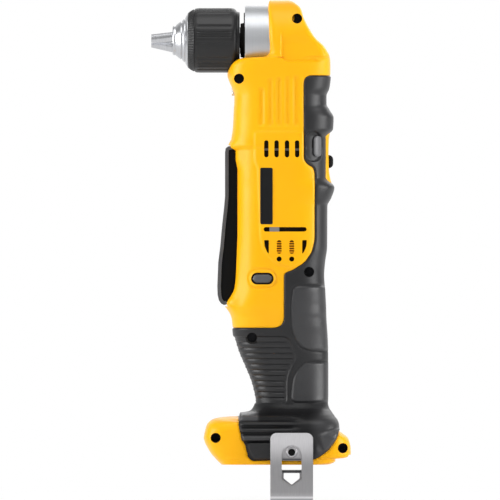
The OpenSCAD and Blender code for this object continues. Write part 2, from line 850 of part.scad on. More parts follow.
module first_carrier() {
    color("silver") {
        translate([0, 0, carrier_1_z])
            linear_extrude(4.4)
                rotate(180 / ring_n)
                    polygon(gear_outline(ring_n, addendum, dedendum, 0.3));
        translate([0, 0, carrier_1_z + 4.3])
            linear_extrude(10.6)
                polygon(gear_outline(sun_2, addendum, dedendum, gear_slack));
        for (a = [0:120:240])
            rotate(a)
                translate([orbit_1, 0, planets_1_z + 0.2])
                    cylinder(r = 2, h = 9.4);
    }
}

module second_planets() {
    color("darkgray")
        for (a = [0:120:240])
            rotate(a)
                translate([orbit_2, 0, planets_2_z])
                    linear_extrude(9.9)
                        difference() {
                            rotate(180 / planet_2)
                                polygon(gear_outline(planet_2, addendum, dedendum, gear_slack));
                            circle(1.5 + fit_gap);
                        }
}

module second_carrier() {
    color("silver") {
        tube(15.5, 5.02, carrier_2_z, carrier_2_z + 3.3);
        for (a = [0:120:240])
            rotate(a)
                translate([orbit_2, 0, planets_2_z + 0.2])
                    cylinder(r = 1.5, h = carrier_2_z - planets_2_z);
    }
}

module shift_ring() {
    color("darkgray")
        difference() {
            translate([0, 0, ring_z])
                linear_extrude(9)
                    difference() {
                        circle(sleeve_in - 0.6);
                        rotate(180 / ring_n)
                            polygon(gear_outline(ring_n, dedendum, addendum, -gear_slack));
                    }
            tube(sleeve_in + 2, sleeve_in - 1.5, ring_z + 5, ring_z + 7.4);
        }
}

// Bevel gears and spindle

module bevel_pinion() {
    far = bevel_r * 1.083;
    color("silver") {
        intersection() {
            translate([0, 0, spindle_z - far])
                rotate(180)
                    linear_extrude(far - bevel_r * bevel_near, scale = bevel_r * bevel_near / far)
                        polygon(bevel_outline(pinion_teeth, bevel_teeth, far));
            translate([0, 0, spindle_z - 30])
                cylinder(r = pinion_r + 1.4, h = 40);
        }
        translate([0, 0, carrier_2_z])
            cylinder(r = 5, h = spindle_z - far + 0.1 - carrier_2_z);
    }
}

module bevel_gear() {
    far = pinion_r * 1.25;
    near = pinion_r * bevel_near;
    color("darkgray")
        on_spindle()
            difference() {
                union() {
                    intersection() {
                        translate([0, 0, -far])
                            rotate(180 / bevel_teeth)
                                linear_extrude(far - near, scale = near / far)
                                    polygon(bevel_outline(bevel_teeth, pinion_teeth, far));
                        translate([0, 0, -30])
                            cylinder(r = bevel_r + 0.9, h = 40);
                    }
                    translate([0, 0, -12.2])
                        cylinder(r = bevel_r + 0.9, h = 12.25 - far);
                }
                translate([0, 0, -30])
                    cylinder(r = 6.02, h = 40);
            }
}

module spindle() {
    back = chuck_back + 0.1;
    color("dimgray")
        difference() {
            spindle_turned([[0, back - 18.5], [4.7, back - 18.5], [4.7, back], [8.5, back],
                [8.5, -21.2], [6, -21.2], [6, -3], [4.5, -3], [4.5, 5], [4, 5], [4, 11.8], [0, 11.8]]);
            rod_x(1.7, back - 30, back - 6);
        }
}

// Keyless chuck

module chuck_body() {
    groove = chuck_back - 26.5;
    color("silver")
        difference() {
            spindle_turned([[5.2, chuck_nose], [8.6, chuck_nose], [9.4, chuck_nose + 1],
                [9.4, chuck_nose + 2], [12.4, chuck_nose + 5.6], [12.8, chuck_nose + 6.6],
                [15.4, chuck_nose + 8.6], [16.6, chuck_nose + 9.4], [16.6, groove], [11.2, groove],
                [11.2, groove + 7], [16.6, groove + 7], [16.6, chuck_back - 2.4], [8, chuck_back - 2.4],
                [8, chuck_back], [4.72, chuck_back], [4.72, chuck_back - 18.6], [5.2, chuck_back - 18.6]]);
            for (a = [0:120:240])
                on_spindle()
                    rotate(a)
                        translate([jaw_start, 0, jaw_tip])
                            rotate([0, jaw_lean, 0])
                                cylinder(r = jaw_r + 0.12, h = 52);
        }
}

module chuck_screw() {
    back = chuck_back - 18.4;
    color("slategray")
        difference() {
            spindle_turned([[0, back - 2.4], [3.4, back - 2.4], [3.4, back - 0.05], [1.65, back - 0.05],
                [1.65, back + 10], [0, back + 10]]);
            on_spindle()
                translate([0, 0, back - 3])
                    cylinder(r = 1.4, h = 1.8, $fn = 6);
        }
}

module chuck_nut() {
    groove = chuck_back - 26.3;
    rise_r = tan(jaw_lean);
    in_r = jaw_start + (groove - jaw_tip) * rise_r + jaw_r / cos(jaw_lean) + 0.25;
    color("goldenrod")
        spindle_turned([[in_r, groove], [16.7, groove], [16.7, groove + 6.6], [in_r + 6.6 * rise_r, groove + 6.6]]);
}

module chuck_sleeve() {
    front = chuck_nose + 9.6;
    color("dimgray")
        difference() {
            spindle_turned([[16.9, front], [17.6, front], [chuck_r, front + 4], [chuck_r, chuck_back - 2.4],
                [chuck_r - 2.5, chuck_back - 1.9], [chuck_r - 2.5, chuck_back], [8.5, chuck_back],
                [8.5, chuck_back - 1.8], [16.9, chuck_back - 1.8]]);
            for (i = [0:flutes - 1])
                on_spindle()
                    rotate(360 * i / flutes)
                        translate([chuck_r + 0.5, 0, front + 7])
                            cylinder(r = 1.2, h = chuck_back - front - 12);
        }
}

module chuck_jaw(angle) {
    color("lightgray")
        on_spindle()
            rotate(angle)
                difference() {
                    translate([jaw_start, 0, jaw_tip])
                        rotate([0, jaw_lean, 0])
                            translate([0, 0, -4])
                                cylinder(r = jaw_r, h = jaw_len + 4);
                    translate([0, 0, jaw_tip - 20])
                        cylinder(r = 20, h = 20);
                    translate([0, 0, jaw_tip - 1])
                        cylinder(r = grip_r, h = 40);
                    translate([0, 0, jaw_tip + grip_land])
                        cylinder(r = grip_r + 0.6, h = 40);
                    for (side = [-1, 1])
                        rotate(side * 60)
                            translate([-30, side * 20 - side * 0.9 - 20, jaw_tip - 1])
                                cube([60, 40, 60]);
                }
}

module chuck_jaw_1() {
    chuck_jaw(0);
}

module chuck_jaw_2() {
    chuck_jaw(120);
}

module chuck_jaw_3() {
    chuck_jaw(240);
}

// Trigger, switch and controls

module trigger_paddle() {
    top = pivot_z;
    bottom = paddle_bottom;
    slope = tan(paddle_swing);
    in_top = floor_x - 0.6;
    in_low = floor_x - 0.6 - (top - bottom - 7) * slope;
    edge = [[in_top, top - 1], [in_top - 0.6, top + 2.4], [-31, top + 4.6], [-34, top + 3.8],
        [-35.6, top + 1.4], [-35.7, top - 27], [-36.2, top - 33], [-37.7, top - 47],
        [-38.7, top - 58.6], [-40, top - 69], [-40.7, bottom + 12], [-40.2, bottom + 6.4],
        [-39.2, bottom + 3], [-37.4, bottom + 0.6], [-35.5, bottom], [-33.6, bottom + 0.9],
        [-32.4, bottom + 2], [-30, bottom + 5.4], [in_low, bottom + 7]];
    hollow = [[0, top - 5], [-33.2, top - 5], [-33.3, top - 27], [-33.8, top - 33], [-35.3, top - 47],
        [-36.3, top - 58.6], [-37.6, top - 69], [-38.3, bottom + 12], [-37.6, bottom + 6.4],
        [-35.6, bottom + 3], [0, bottom + 3]];
    color("dimgray") {
        difference() {
            side_plate(edge, -paddle_half, paddle_half);
            side_plate(hollow, -paddle_half + 2.4, paddle_half - 2.4);
            rod_y(pin_r + fit_gap, pivot_x, top, -40, 40);
            box([-30, -5, top - 6], [0, 5, top + 10]);
        }
        rod_x(4, -38.6, floor_x - 0.7 - (top - plunger_z) * slope, plunger_z);
    }
}

module paddle_pin() {
    color("silver")
        rod_y(pin_r, pivot_x, pivot_z, -paddle_half - 2.6, paddle_half + 2.6);
}

module paddle_spring() {
    coil_r = pin_r + 0.9;
    color("lightgray")
        translate([pivot_x, 0, pivot_z])
            stack([for (i = [0:48])
                let (a = 36 * i, p = [coil_r * cos(a), -3.6 + 0.15 * i, coil_r * sin(a)])
                [for (k = [0:3]) p + 0.4 * (cos(90 * k) * [cos(a), 0, sin(a)] + sin(90 * k) * [0, 1, 0])]]);
}

module switch_body() {
    color("black")
        difference() {
            box([floor_x + 4, -10, switch_bottom], [14, 10, switch_top]);
            rod_x(plunger_r + fit_gap, floor_x - 1, -3, plunger_z);
            box([button_x - 2, -6, switch_top - 3], [button_x + 2, 6, switch_top + 1]);
        }
}

module switch_plunger() {
    face = floor_x - 0.4 - (pivot_z - plunger_z) * tan(paddle_swing);
    color("darkgray")
        rod_x(plunger_r, face, face + 17, plunger_z);
}

module direction_button() {
    color("dimgray") {
        oval_bar(button_len, button_h, -body_half - 1.2, body_half + 1.2);
        translate([button_x, 0, switch_top - 2])
            cylinder(r = 1.6, h = 5);
    }
}

module speed_selector() {
    z = selector_z;
    color("dimgray") {
        box([arm_x, -2.8, z - 4], [body_back + 1.2, 2.8, z + 4]);
        box([body_back, -4.4, z - 4.2], [body_back + 4, 4.4, z + 4.2]);
        box([arm_x, -2.4, z], [arm_x + 1.8, 2.4, ring_z + 7.1]);
        box([sleeve_in - 1.2, -2.4, ring_z + 5.3], [arm_x + 1.8, 2.4, ring_z + 7.1]);
    }
}

// Wiring and battery contacts

module lead(a, b, c, r) {
    path = [for (i = [0:16]) i < 8 ? rise(a, b, i / 8) : rise(b, c, i / 8 - 1)];
    stack([for (i = [0:16]) wire_ring(path, i, r)]);
}

module motor_leads() {
    color("red")
        for (side = [-1, 1])
            lead([10, side * 5, switch_top + 0.2], [10, side * 7, switch_top + 10],
                [9, side * 9, bell_bottom - 0.2], 1.1);
}

module battery_leads() {
    color("red")
        for (side = [-1, 1])
            lead([-20, side * 4, 15.2], [4, side * 4, 38], [-1, side * 4, switch_bottom - 0.2], 1.3);
}

module terminal_block() {
    color("black") {
        box([-32.6, -12, 1], [-16, 12, slot_h - seat_gap]);
        box([-30, -10, slot_h - seat_gap - 0.1], [-18, 10, 14]);
    }
}

module terminal_blades() {
    color("goldenrod")
        for (y = [-9, -3, 3, 9])
            box([-15.9, y - 0.4, 1.6], [-5, y + 0.4, 5.4]);
}

module led_lens() {
    color("white")
        rod_x(2.6, -body_front - 2.6, -body_front + 2.6, spindle_z - 32.5);
}

// Belt hook

module hook_leg(top, from, to) {
    side_plate([[hook_x - hook_w / 2, bend_z], [hook_x + hook_w / 2, bend_z],
        [hook_x + hook_w / 2, top - 5], [hook_x + hook_w / 2 - 1.5, top - 1.5],
        [hook_x + hook_w / 2 - 5, top], [hook_x - hook_w / 2 + 5, top],
        [hook_x - hook_w / 2 + 1.5, top - 1.5], [hook_x - hook_w / 2, top - 5]], from, to);
}

module belt_hook() {
    inner = hook_y - hook_t;
    outer = inner - belt_gap;
    mid = inner - belt_gap / 2;
    color("silver")
        difference() {
            union() {
                hook_leg(hook_top - 4.5, inner, hook_y);
                hook_leg(hook_top, outer - hook_t, outer);
                difference() {
                    rod_bend(belt_gap / 2 + hook_t, hook_w, mid);
                    rod_bend(belt_gap / 2, hook_w + 2, mid);
                    box([-80, -80, bend_z], [80, 80, 40]);
                }
            }
            side_plate([[hook_x - 6.3, -9], [hook_x, -13.2], [hook_x + 6.3, -9], [hook_x + 6.3, 7],
                [hook_x + 5.4, 10], [hook_x + 3, 12], [hook_x, 12.6], [hook_x - 3, 12],
                [hook_x - 5.4, 10], [hook_x - 6.3, 7]], outer - hook_t - 1, outer + 1);
            side_plate([[hook_x - 6.3, -3.2], [hook_x + 6.3, -3.2], [hook_x + 6.3, 1.8], [hook_x - 6.3, 1.8]],
                inner - 1, hook_y + 1);
            side_plate([[hook_x - 5, -8.6], [hook_x, -12.4], [hook_x + 5, -8.6], [hook_x + 5, -5.4],
                [hook_x - 5, -5.4]], inner - 1, hook_y + 1);
            rod_y(2.1, hook_x, hook_z, inner - 1, hook_y + 1);
        }
}

module rod_bend(r, long, y) {
    translate([hook_x - long / 2, y, bend_z])
        rotate([0, 90, 0])
            cylinder(r = r, h = long);
}

module belt_hook_screw() {
    head = hook_y - hook_t - 0.05;
    color("slategray")
        difference() {
            union() {
                rod_y(3.6, hook_x, hook_z, head - 2.2, head);
                rod_y(insert_bore_r - fit_gap, hook_x, hook_z, head - 0.1, head + 8);
            }
            rod_y(1.5, hook_x, hook_z, head - 3, head - 0.9, $fn = 6);
        }
}

module hook_inserts() {
    color("goldenrod")
        for (side = [-1, 1])
            difference() {
                rod_y(insert_r, hook_x, hook_z, side * insert_y - 3.2, side * insert_y + 3.2);
                rod_y(insert_bore_r, hook_x, hook_z, side * insert_y - 5, side * insert_y + 5);
            }
}

housing_left();
housing_right();
grip_left();
grip_right();
housing_screws();
name_plate();
selector_plate();
gear_case();
gearbox_sleeve();
front_bearing_outer();
rear_bush();
pinion_bush();
first_ring_gear();
motor_can();
motor_magnets();
motor_end_bell();
carbon_brushes();
motor_bushes();
switch_body();
motor_leads();
battery_leads();
terminal_block();
terminal_blades();
led_lens();
belt_hook();
belt_hook_screw();
hook_inserts();
paddle_pin();
paddle_spring();
spindle();
bevel_gear();
front_bearing_inner();
front_bearing_balls();
chuck_body();
chuck_screw();
chuck_sleeve();
chuck_nut();
chuck_jaw_1();
chuck_jaw_2();
chuck_jaw_3();
bevel_pinion();
second_carrier();
second_planets();
first_carrier();
shift_ring();
first_planet_1();
first_planet_2();
first_planet_3();
motor_shaft();
armature();
commutator();
cooling_fan();
motor_pinion();
trigger_paddle();
switch_plunger();
direction_button();
speed_selector();
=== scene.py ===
from math import radians

import bmesh
import bpy
import numpy as np
from bpy.props import FloatProperty, FloatVectorProperty, IntProperty, PointerProperty
from bpy.types import Operator, Panel, PropertyGroup
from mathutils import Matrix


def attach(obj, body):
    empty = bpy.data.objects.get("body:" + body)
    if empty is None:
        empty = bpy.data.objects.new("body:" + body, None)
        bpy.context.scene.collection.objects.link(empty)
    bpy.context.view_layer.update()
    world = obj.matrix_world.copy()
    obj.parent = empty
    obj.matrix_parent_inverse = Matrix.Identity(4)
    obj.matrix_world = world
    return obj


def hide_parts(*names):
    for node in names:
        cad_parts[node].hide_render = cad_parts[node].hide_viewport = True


bl_info = {
    "name": "Right angle drill",
    "version": (1, 0, 0),
    "blender": (4, 5, 0),
    "location": "3D View > Sidebar > Drill",
    "description": "Housing, grip, trigger, chuck, hook and studio of a cordless right angle drill",
    "category": "Object",
}

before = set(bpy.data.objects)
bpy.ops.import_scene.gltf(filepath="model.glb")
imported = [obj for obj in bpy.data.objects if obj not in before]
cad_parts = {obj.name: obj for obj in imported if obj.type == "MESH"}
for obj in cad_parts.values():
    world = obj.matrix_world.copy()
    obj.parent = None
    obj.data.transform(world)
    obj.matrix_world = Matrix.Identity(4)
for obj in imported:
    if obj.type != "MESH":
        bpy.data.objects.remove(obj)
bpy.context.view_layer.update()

# Every shape below is worked out in millimetres and written to its mesh in metres.
MM = 0.001
SPINDLE_Z = 269.0
HEAD_R = 25.5
TOP_Z = SPINDLE_Z + HEAD_R

# Sections of the body: height, reach to the front, reach to the back, half width, squareness.
STATIONS = np.array([
    (0, 37.3, 30.5, 36, 6), (0.8, 38.1, 33.6, 36.3, 6), (2, 39.3, 35.4, 36.6, 6),
    (3.6, 40.8, 36.4, 36.9, 6), (4.3, 41.4, 42.6, 37, 6), (5.2, 42.3, 44.4, 37, 6), (7, 43.8, 44.9, 37, 6),
    (10.5, 45.9, 44.8, 37, 6), (14, 47.7, 44.1, 37, 6), (17, 48.4, 42.7, 37, 6), (19.5, 48, 39.5, 37, 6),
    (21.5, 47.5, 37.5, 37, 6), (25.4, 46.2, 37.1, 36, 5.5), (28, 43.4, 36.2, 34, 5),
    (30, 38.2, 34.6, 31.5, 4.5), (31.2, 33, 33.8, 29.6, 4.1), (32.2, 27, 33.1, 27.4, 3.7),
    (32.8, 22, 32.7, 26, 3.4), (33.6, 19, 32.2, 24.2, 3.2), (35, 17.4, 31.2, 21.5, 2.8),
    (38.7, 15.9, 30.2, 19, 2.5), (44.1, 16.7, 30.3, 18.5, 2.5), (52, 18.7, 30.3, 18.5, 2.5),
    (61.9, 22.7, 30.3, 19, 2.5), (72.2, 27, 30.2, 20.5, 2.5), (82.1, 29.6, 29.8, 22.5, 2.6),
    (88, 30.2, 29.4, 24, 2.7), (92.7, 30.8, 29.1, 25, 2.7), (96.5, 32.2, 29, 25.7, 2.8),
    (100.3, 33.2, 28.9, 26.2, 2.8), (105.4, 31, 28.6, 26.6, 2.9), (112, 28.6, 28.2, 27, 3),
    (120, 28, 27.7, 27, 3), (128, 28, 28.3, 27, 3), (138, 28, 29.6, 27, 3), (164, 28, 29.8, 27, 3),
    (169, 28, 32.2, 27, 3), (175.5, 28, 34.2, 27, 3), (182, 28, 29.2, 27, 3), (199.4, 28, 29.2, 27, 3),
    (202.2, 31.6, 29.2, 27, 3), (207.5, 30.8, 29.2, 27, 3), (213, 30, 33.4, 26.8, 3),
    (219.7, 29.6, 33.7, 26.5, 3), (224.8, 29.4, 31.1, 26.3, 3), (228.5, 29.1, 29.2, 26.2, 3),
    (233.7, 29, 29.2, 26.1, 3), (238.5, 30.4, 31, 25.9, 3.1), (243, 32.3, 31.7, 25.7, 3.2),
    (247, 33.4, 32, 25.5, 3.4), (252.7, 32, 32, 25.5, 3.8), (256.5, 28.6, 31.9, 25.5, 4.2),
    (257.8, 24, 31.6, 25.5, 4.6), (258.4, 12.5, 31.5, 25.5, 5), (259.6, 8.8, 31.2, 25.5, 5.5),
    (262, 7.6, 30, 25.5, 6), (266, 7.5, 27.4, 25.5, 7), (270, 7.5, 23.7, 25.5, 8),
    (273.7, 7.5, 20.5, 25.5, 8), (277.5, 7.5, 17.9, 25.5, 8), (281.3, 7.5, 16, 25.5, 8),
    (284, 7.5, 14.8, 25.5, 8), (287, 7.5, 14, 25.5, 8), (289.9, 7.5, 12.8, 25.5, 8),
    (291.9, 7.3, 10.6, 25.5, 8), (293.3, 7, 8.6, 25.5, 8), (294.5, 6.5, 6.2, 25.5, 8)])

# Shelves of foot and head, on which rows of faces lie closer: start, end and spacing. ROUND_FROM is where the
# round top of the head starts.
SHELVES = ((29.4, 34.2, 0.1), (255.5, 260.2, 0.16))
ROUND_FROM = 286.0
# Heights at which the upper shells start and the foot shells end. Between them the handle is all rubber.
BODY_LOW = 70
FOOT_HIGH = 45

# Edge of the rubber overmould seen from the side, and the forms moulded into shell and rubber.
RUBBER_EDGE = [
    (15.2, 242.5), (16.2, 245.2), (18.6, 246.4), (60, 246.4), (60, 22.8), (38, 22.8), (35.6, 16.5),
    (30.5, 9), (22.2, 3.2), (-17.6, 2.2), (-20.4, 4.8), (-21.6, 11), (-24, 16.5), (-26.2, 24.8),
    (-26.2, 33.6), (-60, 33.6), (-60, 86.4), (-3.4, 86.4), (-1.1, 86.9), (0.8, 88.2), (2.1, 90.1),
    (2.6, 92.4), (2.6, 120), (3.8, 121.8), (8.3, 123.2), (15.9, 128.3), (20.3, 134.6), (22.2, 142.2),
    (22.2, 185.4), (21, 188.6), (17.8, 189.8), (15.2, 193)]
SIDE_PANEL = [
    (-16.5, 211.5), (15.2, 211.5), (15.2, 193), (17.8, 189.8), (22.2, 186), (22.2, 143), (20.3, 134.6),
    (15.9, 128.3), (8.3, 123.8), (0, 125.7), (-6.4, 129.5), (-11, 135.5), (-13, 143), (-14.5, 188),
    (-16.5, 192)]
RIDGED_PANEL = [
    (-50, 81), (4, 81), (6.8, 77.6), (10.6, 67.6), (6, 59.4), (4.3, 54), (4.3, 38.5), (-50, 38.5)]
UPPER_PAD = [
    (8.3, 113), (50, 113), (50, 72.1), (18.4, 72.1), (13.3, 74.3), (10.2, 78.7), (7.6, 85.1), (7, 97.8)]
LOWER_PAD = [(50, 65.4), (15.9, 64.5), (11.4, 60.3), (8.3, 54.6), (7, 39.4), (50, 39.4)]
BOOT_BLOCK = [(-20.6, 14), (-4, 14), (-4, 3.6), (-16.5, 3.6), (-19, 6.5)]
BOOT_FACET = [(23.4, 18.4), (30, 21.8), (38, 24), (36.8, 16.4), (31, 9.4), (27.6, 8.2)]
# Heights between which the boot's ridges lie, and the place of its round boss.
BOOT_STEPS = (14.5, 20, 23.9, 27.7, 31.5)
BOOT_BOSS = (24.3, 9.7)

# Housing screws: place along X, height, and depth of the head's seat from the middle of the tool.
SCREWS = np.array([(-26, 244.5, 8), (10.8, 282.6, 8), (18.4, 122, 12), (-17.8, 80.3, 10),
                   (-40.8, 17, 14), (39.7, 10.5, 14)])
RECESS_R = 3.2
# Places of the vents along X, of the reverse button and the slot it slides in, and of the thumb pocket.
TOP_VENTS_X = (-8.7, -2.2, 4.4, 10.8)
LOW_VENTS_X = (-0.6, 7.4)
BUTTON_AT = (-11.2, 117.8)
BUTTON_SLOT = ((-14.6, 117.8), (-7.8, 117.8))
POCKET = ((21.2, 196.8), (21.2, 206.2))

# Openings seen along X, as (y, z): the slot of the battery pack and the window of the speed selector.
BATTERY_SLOT = [
    (-24, -5), (24, -5), (24, 2.6), (27.5, 2.6), (27.5, 6.2), (-27.5, 6.2), (-27.5, 2.6), (-24, 2.6)]
SELECTOR_WINDOW = [(-3.4, 187.4), (3.4, 187.4), (3.4, 202.4), (-3.4, 202.4)]

# Belt hook: its middle along X, the height of its screw, the hole for that screw and the hook's lowest point.
HOOK_X = 7.3
HOOK_SCREW_Z = 8
HOOK_HOLE_R = 5
HOOK_LOW = -23.5

# Axes, as columns of a point.
X, Y, Z = 0, 1, 2
# The two halves of the tool, and the reach in Y of a cut that goes through both.
SIDES = ((-1, "left"), (1, "right"))
THROUGH = (-60, 60)


def linear(hex_colour):
    """An sRGB hex value as linear red, green, blue and alpha."""
    c = np.array([int(hex_colour[i:i + 2], 16) for i in (0, 2, 4)]) / 255
    return (*np.where(c <= 0.04045, c / 12.92, ((c + 0.055) / 1.055) ** 2.4).tolist(), 1.0)


class HousingSettings(PropertyGroup):
    """Sizes of the yellow shells."""
    wall: FloatProperty(name="Wall", description="Thickness of the moulded shells",
                        default=2.4 * MM, min=1.5 * MM, unit="LENGTH")
    row_step: FloatProperty(name="Row step", description="Height of one row of faces",
                            default=0.52 * MM, min=0.3 * MM, unit="LENGTH")
    columns: IntProperty(name="Columns", description="Columns of faces around one shell, a multiple of four",
                         default=144, min=48)
    panel_rise: FloatProperty(name="Panel rise", description="Height of the side panel over the shell",
                              default=0.6 * MM, unit="LENGTH")
    flute_depth: FloatProperty(name="Flute depth", description="Depth of the flutes under the head",
                               default=1.0 * MM, unit="LENGTH")
    lip_drop: FloatProperty(name="Lip drop", description="Depth of the seat of the rubber",
                            default=1.3 * MM, unit="LENGTH")


class GripSettings(PropertyGroup):
    """Sizes of the rubber overmould."""
    depth: FloatProperty(name="Depth", description="How far the rubber reaches under the skin",
                         default=2.0 * MM, unit="LENGTH")
    proud: FloatProperty(name="Proud", description="Height of the rubber over the shell",
                         default=0.35 * MM, unit="LENGTH")
    ridge_pitch: FloatProperty(name="Ridge pitch", description="Spacing of the grip's ridges",
                               default=3.5 * MM, unit="LENGTH")
    ridge_depth: FloatProperty(name="Ridge depth", description="Depth of the grooves between ridges",
                               default=0.55 * MM, unit="LENGTH")
    pad_rise: FloatProperty(name="Pad rise", description="Height of the smooth pads",
                            default=0.55 * MM, unit="LENGTH")


class FinishSettings(PropertyGroup):
    """Colours of the visible finishes."""
    yellow: FloatVectorProperty(name="Yellow nylon", description="Colour of the shells",
                                default=linear("F7B102"), min=0, max=1, size=4, subtype="COLOR")
    rubber: FloatVectorProperty(name="Rubber", description="Colour of the overmould",
                                default=linear("252527"), min=0, max=1, size=4, subtype="COLOR")
    nylon: FloatVectorProperty(name="Black nylon", description="Colour of the trigger's core and the slider",
                               default=linear("070708"), min=0, max=1, size=4, subtype="COLOR")
    chuck: FloatVectorProperty(name="Chuck nylon", description="Colour of the chuck sleeve",
                               default=linear("1B1B1C"), min=0, max=1, size=4, subtype="COLOR")
    aluminium: FloatVectorProperty(name="Aluminium", description="Colour of the gear case",
                                   default=linear("BCBEC1"), min=0, max=1, size=4, subtype="COLOR")
    steel: FloatVectorProperty(name="Ground steel", description="Colour of the jaws and nose",
                               default=linear("C2C3C6"), min=0, max=1, size=4, subtype="COLOR")
    zinc: FloatVectorProperty(name="Zinc plate", description="Colour of the belt hook and its screw",
                              default=linear("A3A2A4"), min=0, max=1, size=4, subtype="COLOR")


class StageSettings(PropertyGroup):
    """Place and view of the camera."""
    distance: FloatProperty(name="Distance", description="From the camera to the tool's middle plane",
                            default=10.0, unit="LENGTH")
    frame_width: FloatProperty(name="Frame width", description="Width of the picture at that plane",
                               default=0.3175, unit="LENGTH")
    aim_x: FloatProperty(name="Aim along X", description="Place of the middle of the picture along X",
                         default=-0.01905, unit="LENGTH")
    aim_z: FloatProperty(name="Aim height", description="Height of the middle of the picture",
                         default=0.1359, unit="LENGTH")


def add(tree, kind, settings=(), *sources, **links):
    """Adds one node.

    A setting goes to the node's own property or, failing that, to its socket. Sources are linked to the
    sockets in order, and links to the sockets that they name.
    """
    made = tree.nodes.new(kind)
    for name, value in dict(settings).items():
        if name in made.bl_rna.properties:
            setattr(made, name, value)
        else:
            made.inputs[name].default_value = value
    for socket, source in zip(made.inputs, sources):
        tree.links.new(source, socket)
    for name, source in links.items():
        tree.links.new(source, made.inputs[name])
    return made


def start_material(name):
    """An empty node material with its output, its shader and object coordinates."""
    material = bpy.data.materials.new(name)
    material.use_nodes = True
    tree = material.node_tree
    tree.nodes.clear()
    out = add(tree, "ShaderNodeOutputMaterial")
    shader = add(tree, "ShaderNodeBsdfPrincipled")
    tree.links.new(shader.outputs[0], out.inputs["Surface"])
    place = add(tree, "ShaderNodeTexCoord").outputs["Object"]
    return material, tree, shader, place


def paint(tree, shader, pattern, colour, spread, tone=None, dim=1.0, bright=1.0):
    """Colours a shader by a pattern: darker than colour by spread where it is 0.3, lighter by it at 0.7.

    A tone from 0 to 1 then multiplies that, by dim to bright.
    """
    base = np.array(colour[:3])
    ramp = add(tree, "ShaderNodeValToRGB", Fac=pattern)
    dark, light = ramp.color_ramp.elements
    dark.position, light.position = 0.3, 0.7
    dark.color = (*base * (1 - spread), 1)
    light.color = (*np.minimum(base * (1 + spread), 1), 1)
    painted = ramp.outputs["Color"]
    if tone:
        scale = add(tree, "ShaderNodeMapRange", {"To Min": dim, "To Max": bright}, Value=tone).outputs[0]
        toned = add(tree, "ShaderNodeVectorMath", {"operation": "SCALE"}, Vector=painted, Scale=scale)
        painted = toned.outputs[0]
    tree.links.new(painted, shader.inputs["Base Color"])


def moulded(name, colour, rough, grain_mm, height_mm, cloud_mm, spread, specular=0.5, tone_name=None):
    """A moulded surface: the mould's fine grain as bump and a slow cloud in tone and gloss.

    grain_mm is the size of the grain, height_mm its depth, cloud_mm the size of the slow cloud and
    spread how far the cloud lightens and darkens the colour. A mesh attribute called tone_name, from
    0 to 1, deepens or lightens colour and shine.
    """
    material, tree, shader, place = start_material(name)
    noise = add(tree, "ShaderNodeTexNoise", {"Scale": 1000 / cloud_mm, "Detail": 3.0}, Vector=place)
    cloud = noise.outputs["Fac"]
    shader.inputs["Specular IOR Level"].default_value = specular
    tone = None
    if tone_name:
        tone = add(tree, "ShaderNodeAttribute", {"attribute_name": tone_name}).outputs["Fac"]
        reach = {"To Min": 0.3 * specular, "To Max": 1.7 * specular}
        shine = add(tree, "ShaderNodeMapRange", reach, Value=tone)
        tree.links.new(shine.outputs[0], shader.inputs["Specular IOR Level"])
    paint(tree, shader, cloud, colour, spread, tone, dim=0.25, bright=1.75)
    gloss = add(tree, "ShaderNodeMapRange", {"To Min": rough - 0.07, "To Max": rough + 0.07}, Value=cloud)
    tree.links.new(gloss.outputs[0], shader.inputs["Roughness"])
    noise = add(tree, "ShaderNodeTexNoise", {"Scale": 1000 / grain_mm, "Detail": 2.0}, Vector=place)
    grain = noise.outputs["Fac"]
    bump = add(tree, "ShaderNodeBump", {"Strength": 1.0, "Distance": height_mm * MM}, Height=grain)
    tree.links.new(bump.outputs[0], shader.inputs["Normal"])
    shader.inputs["IOR"].default_value = 1.5
    return material


def worked_metal(name, colour, rough, line_mm, stretch, depth_mm, spread, tone_name=None):
    """A worked metal: fine tool lines in tone and bump, and a slow smear of 14 mm in gloss.

    The lines are noise that is stretched along them: line_mm is their spacing, stretch divides the
    pattern along X, Y and Z, and depth_mm is how deep they are. A mesh attribute called tone_name,
    from 0 to 1, dulls or brightens the colour.
    """
    material, tree, shader, place = start_material(name)
    lay = add(tree, "ShaderNodeMapping", {"Scale": tuple(1 / np.array(stretch))}, Vector=place).outputs[0]
    noise = add(tree, "ShaderNodeTexNoise", {"Scale": 1000 / line_mm, "Detail": 4.0}, Vector=lay)
    line = noise.outputs["Fac"]
    noise = add(tree, "ShaderNodeTexNoise", {"Scale": 1000 / 14.0, "Detail": 3.0}, Vector=place)
    smear = noise.outputs["Fac"]
    tone = None
    if tone_name:
        tone = add(tree, "ShaderNodeAttribute", {"attribute_name": tone_name}).outputs["Fac"]
    paint(tree, shader, line, colour, spread, tone, dim=0.2, bright=2.2)
    gloss = add(tree, "ShaderNodeMapRange", {"To Min": rough - 0.08, "To Max": rough + 0.08}, Value=smear)
    tree.links.new(gloss.outputs[0], shader.inputs["Roughness"])
    bump = add(tree, "ShaderNodeBump", {"Strength": 1.0, "Distance": depth_mm * MM}, Height=line)
    tree.links.new(bump.outputs[0], shader.inputs["Normal"])
    shader.inputs["Metallic"].default_value = 1.0
    return material


def clouded(name, colour, other, rough, cloud_mm):
    """A plain surface with a faint cloud of the colour other, which is noise of the size cloud_mm."""
    material, tree, shader, place = start_material(name)
    cloud = add(tree, "ShaderNodeTexNoise", {"Scale": 1000 / cloud_mm, "Detail": 2.0}, Vector=place)
    ramp = add(tree, "ShaderNodeValToRGB", Fac=cloud.outputs["Fac"])
    ramp.color_ramp.elements[0].color = linear(other)
    ramp.color_ramp.elements[1].color = colour
    tree.links.new(ramp.outputs["Color"], shader.inputs["Base Color"])
    shader.inputs["Roughness"].default_value = rough
    return material, tree, shader, place


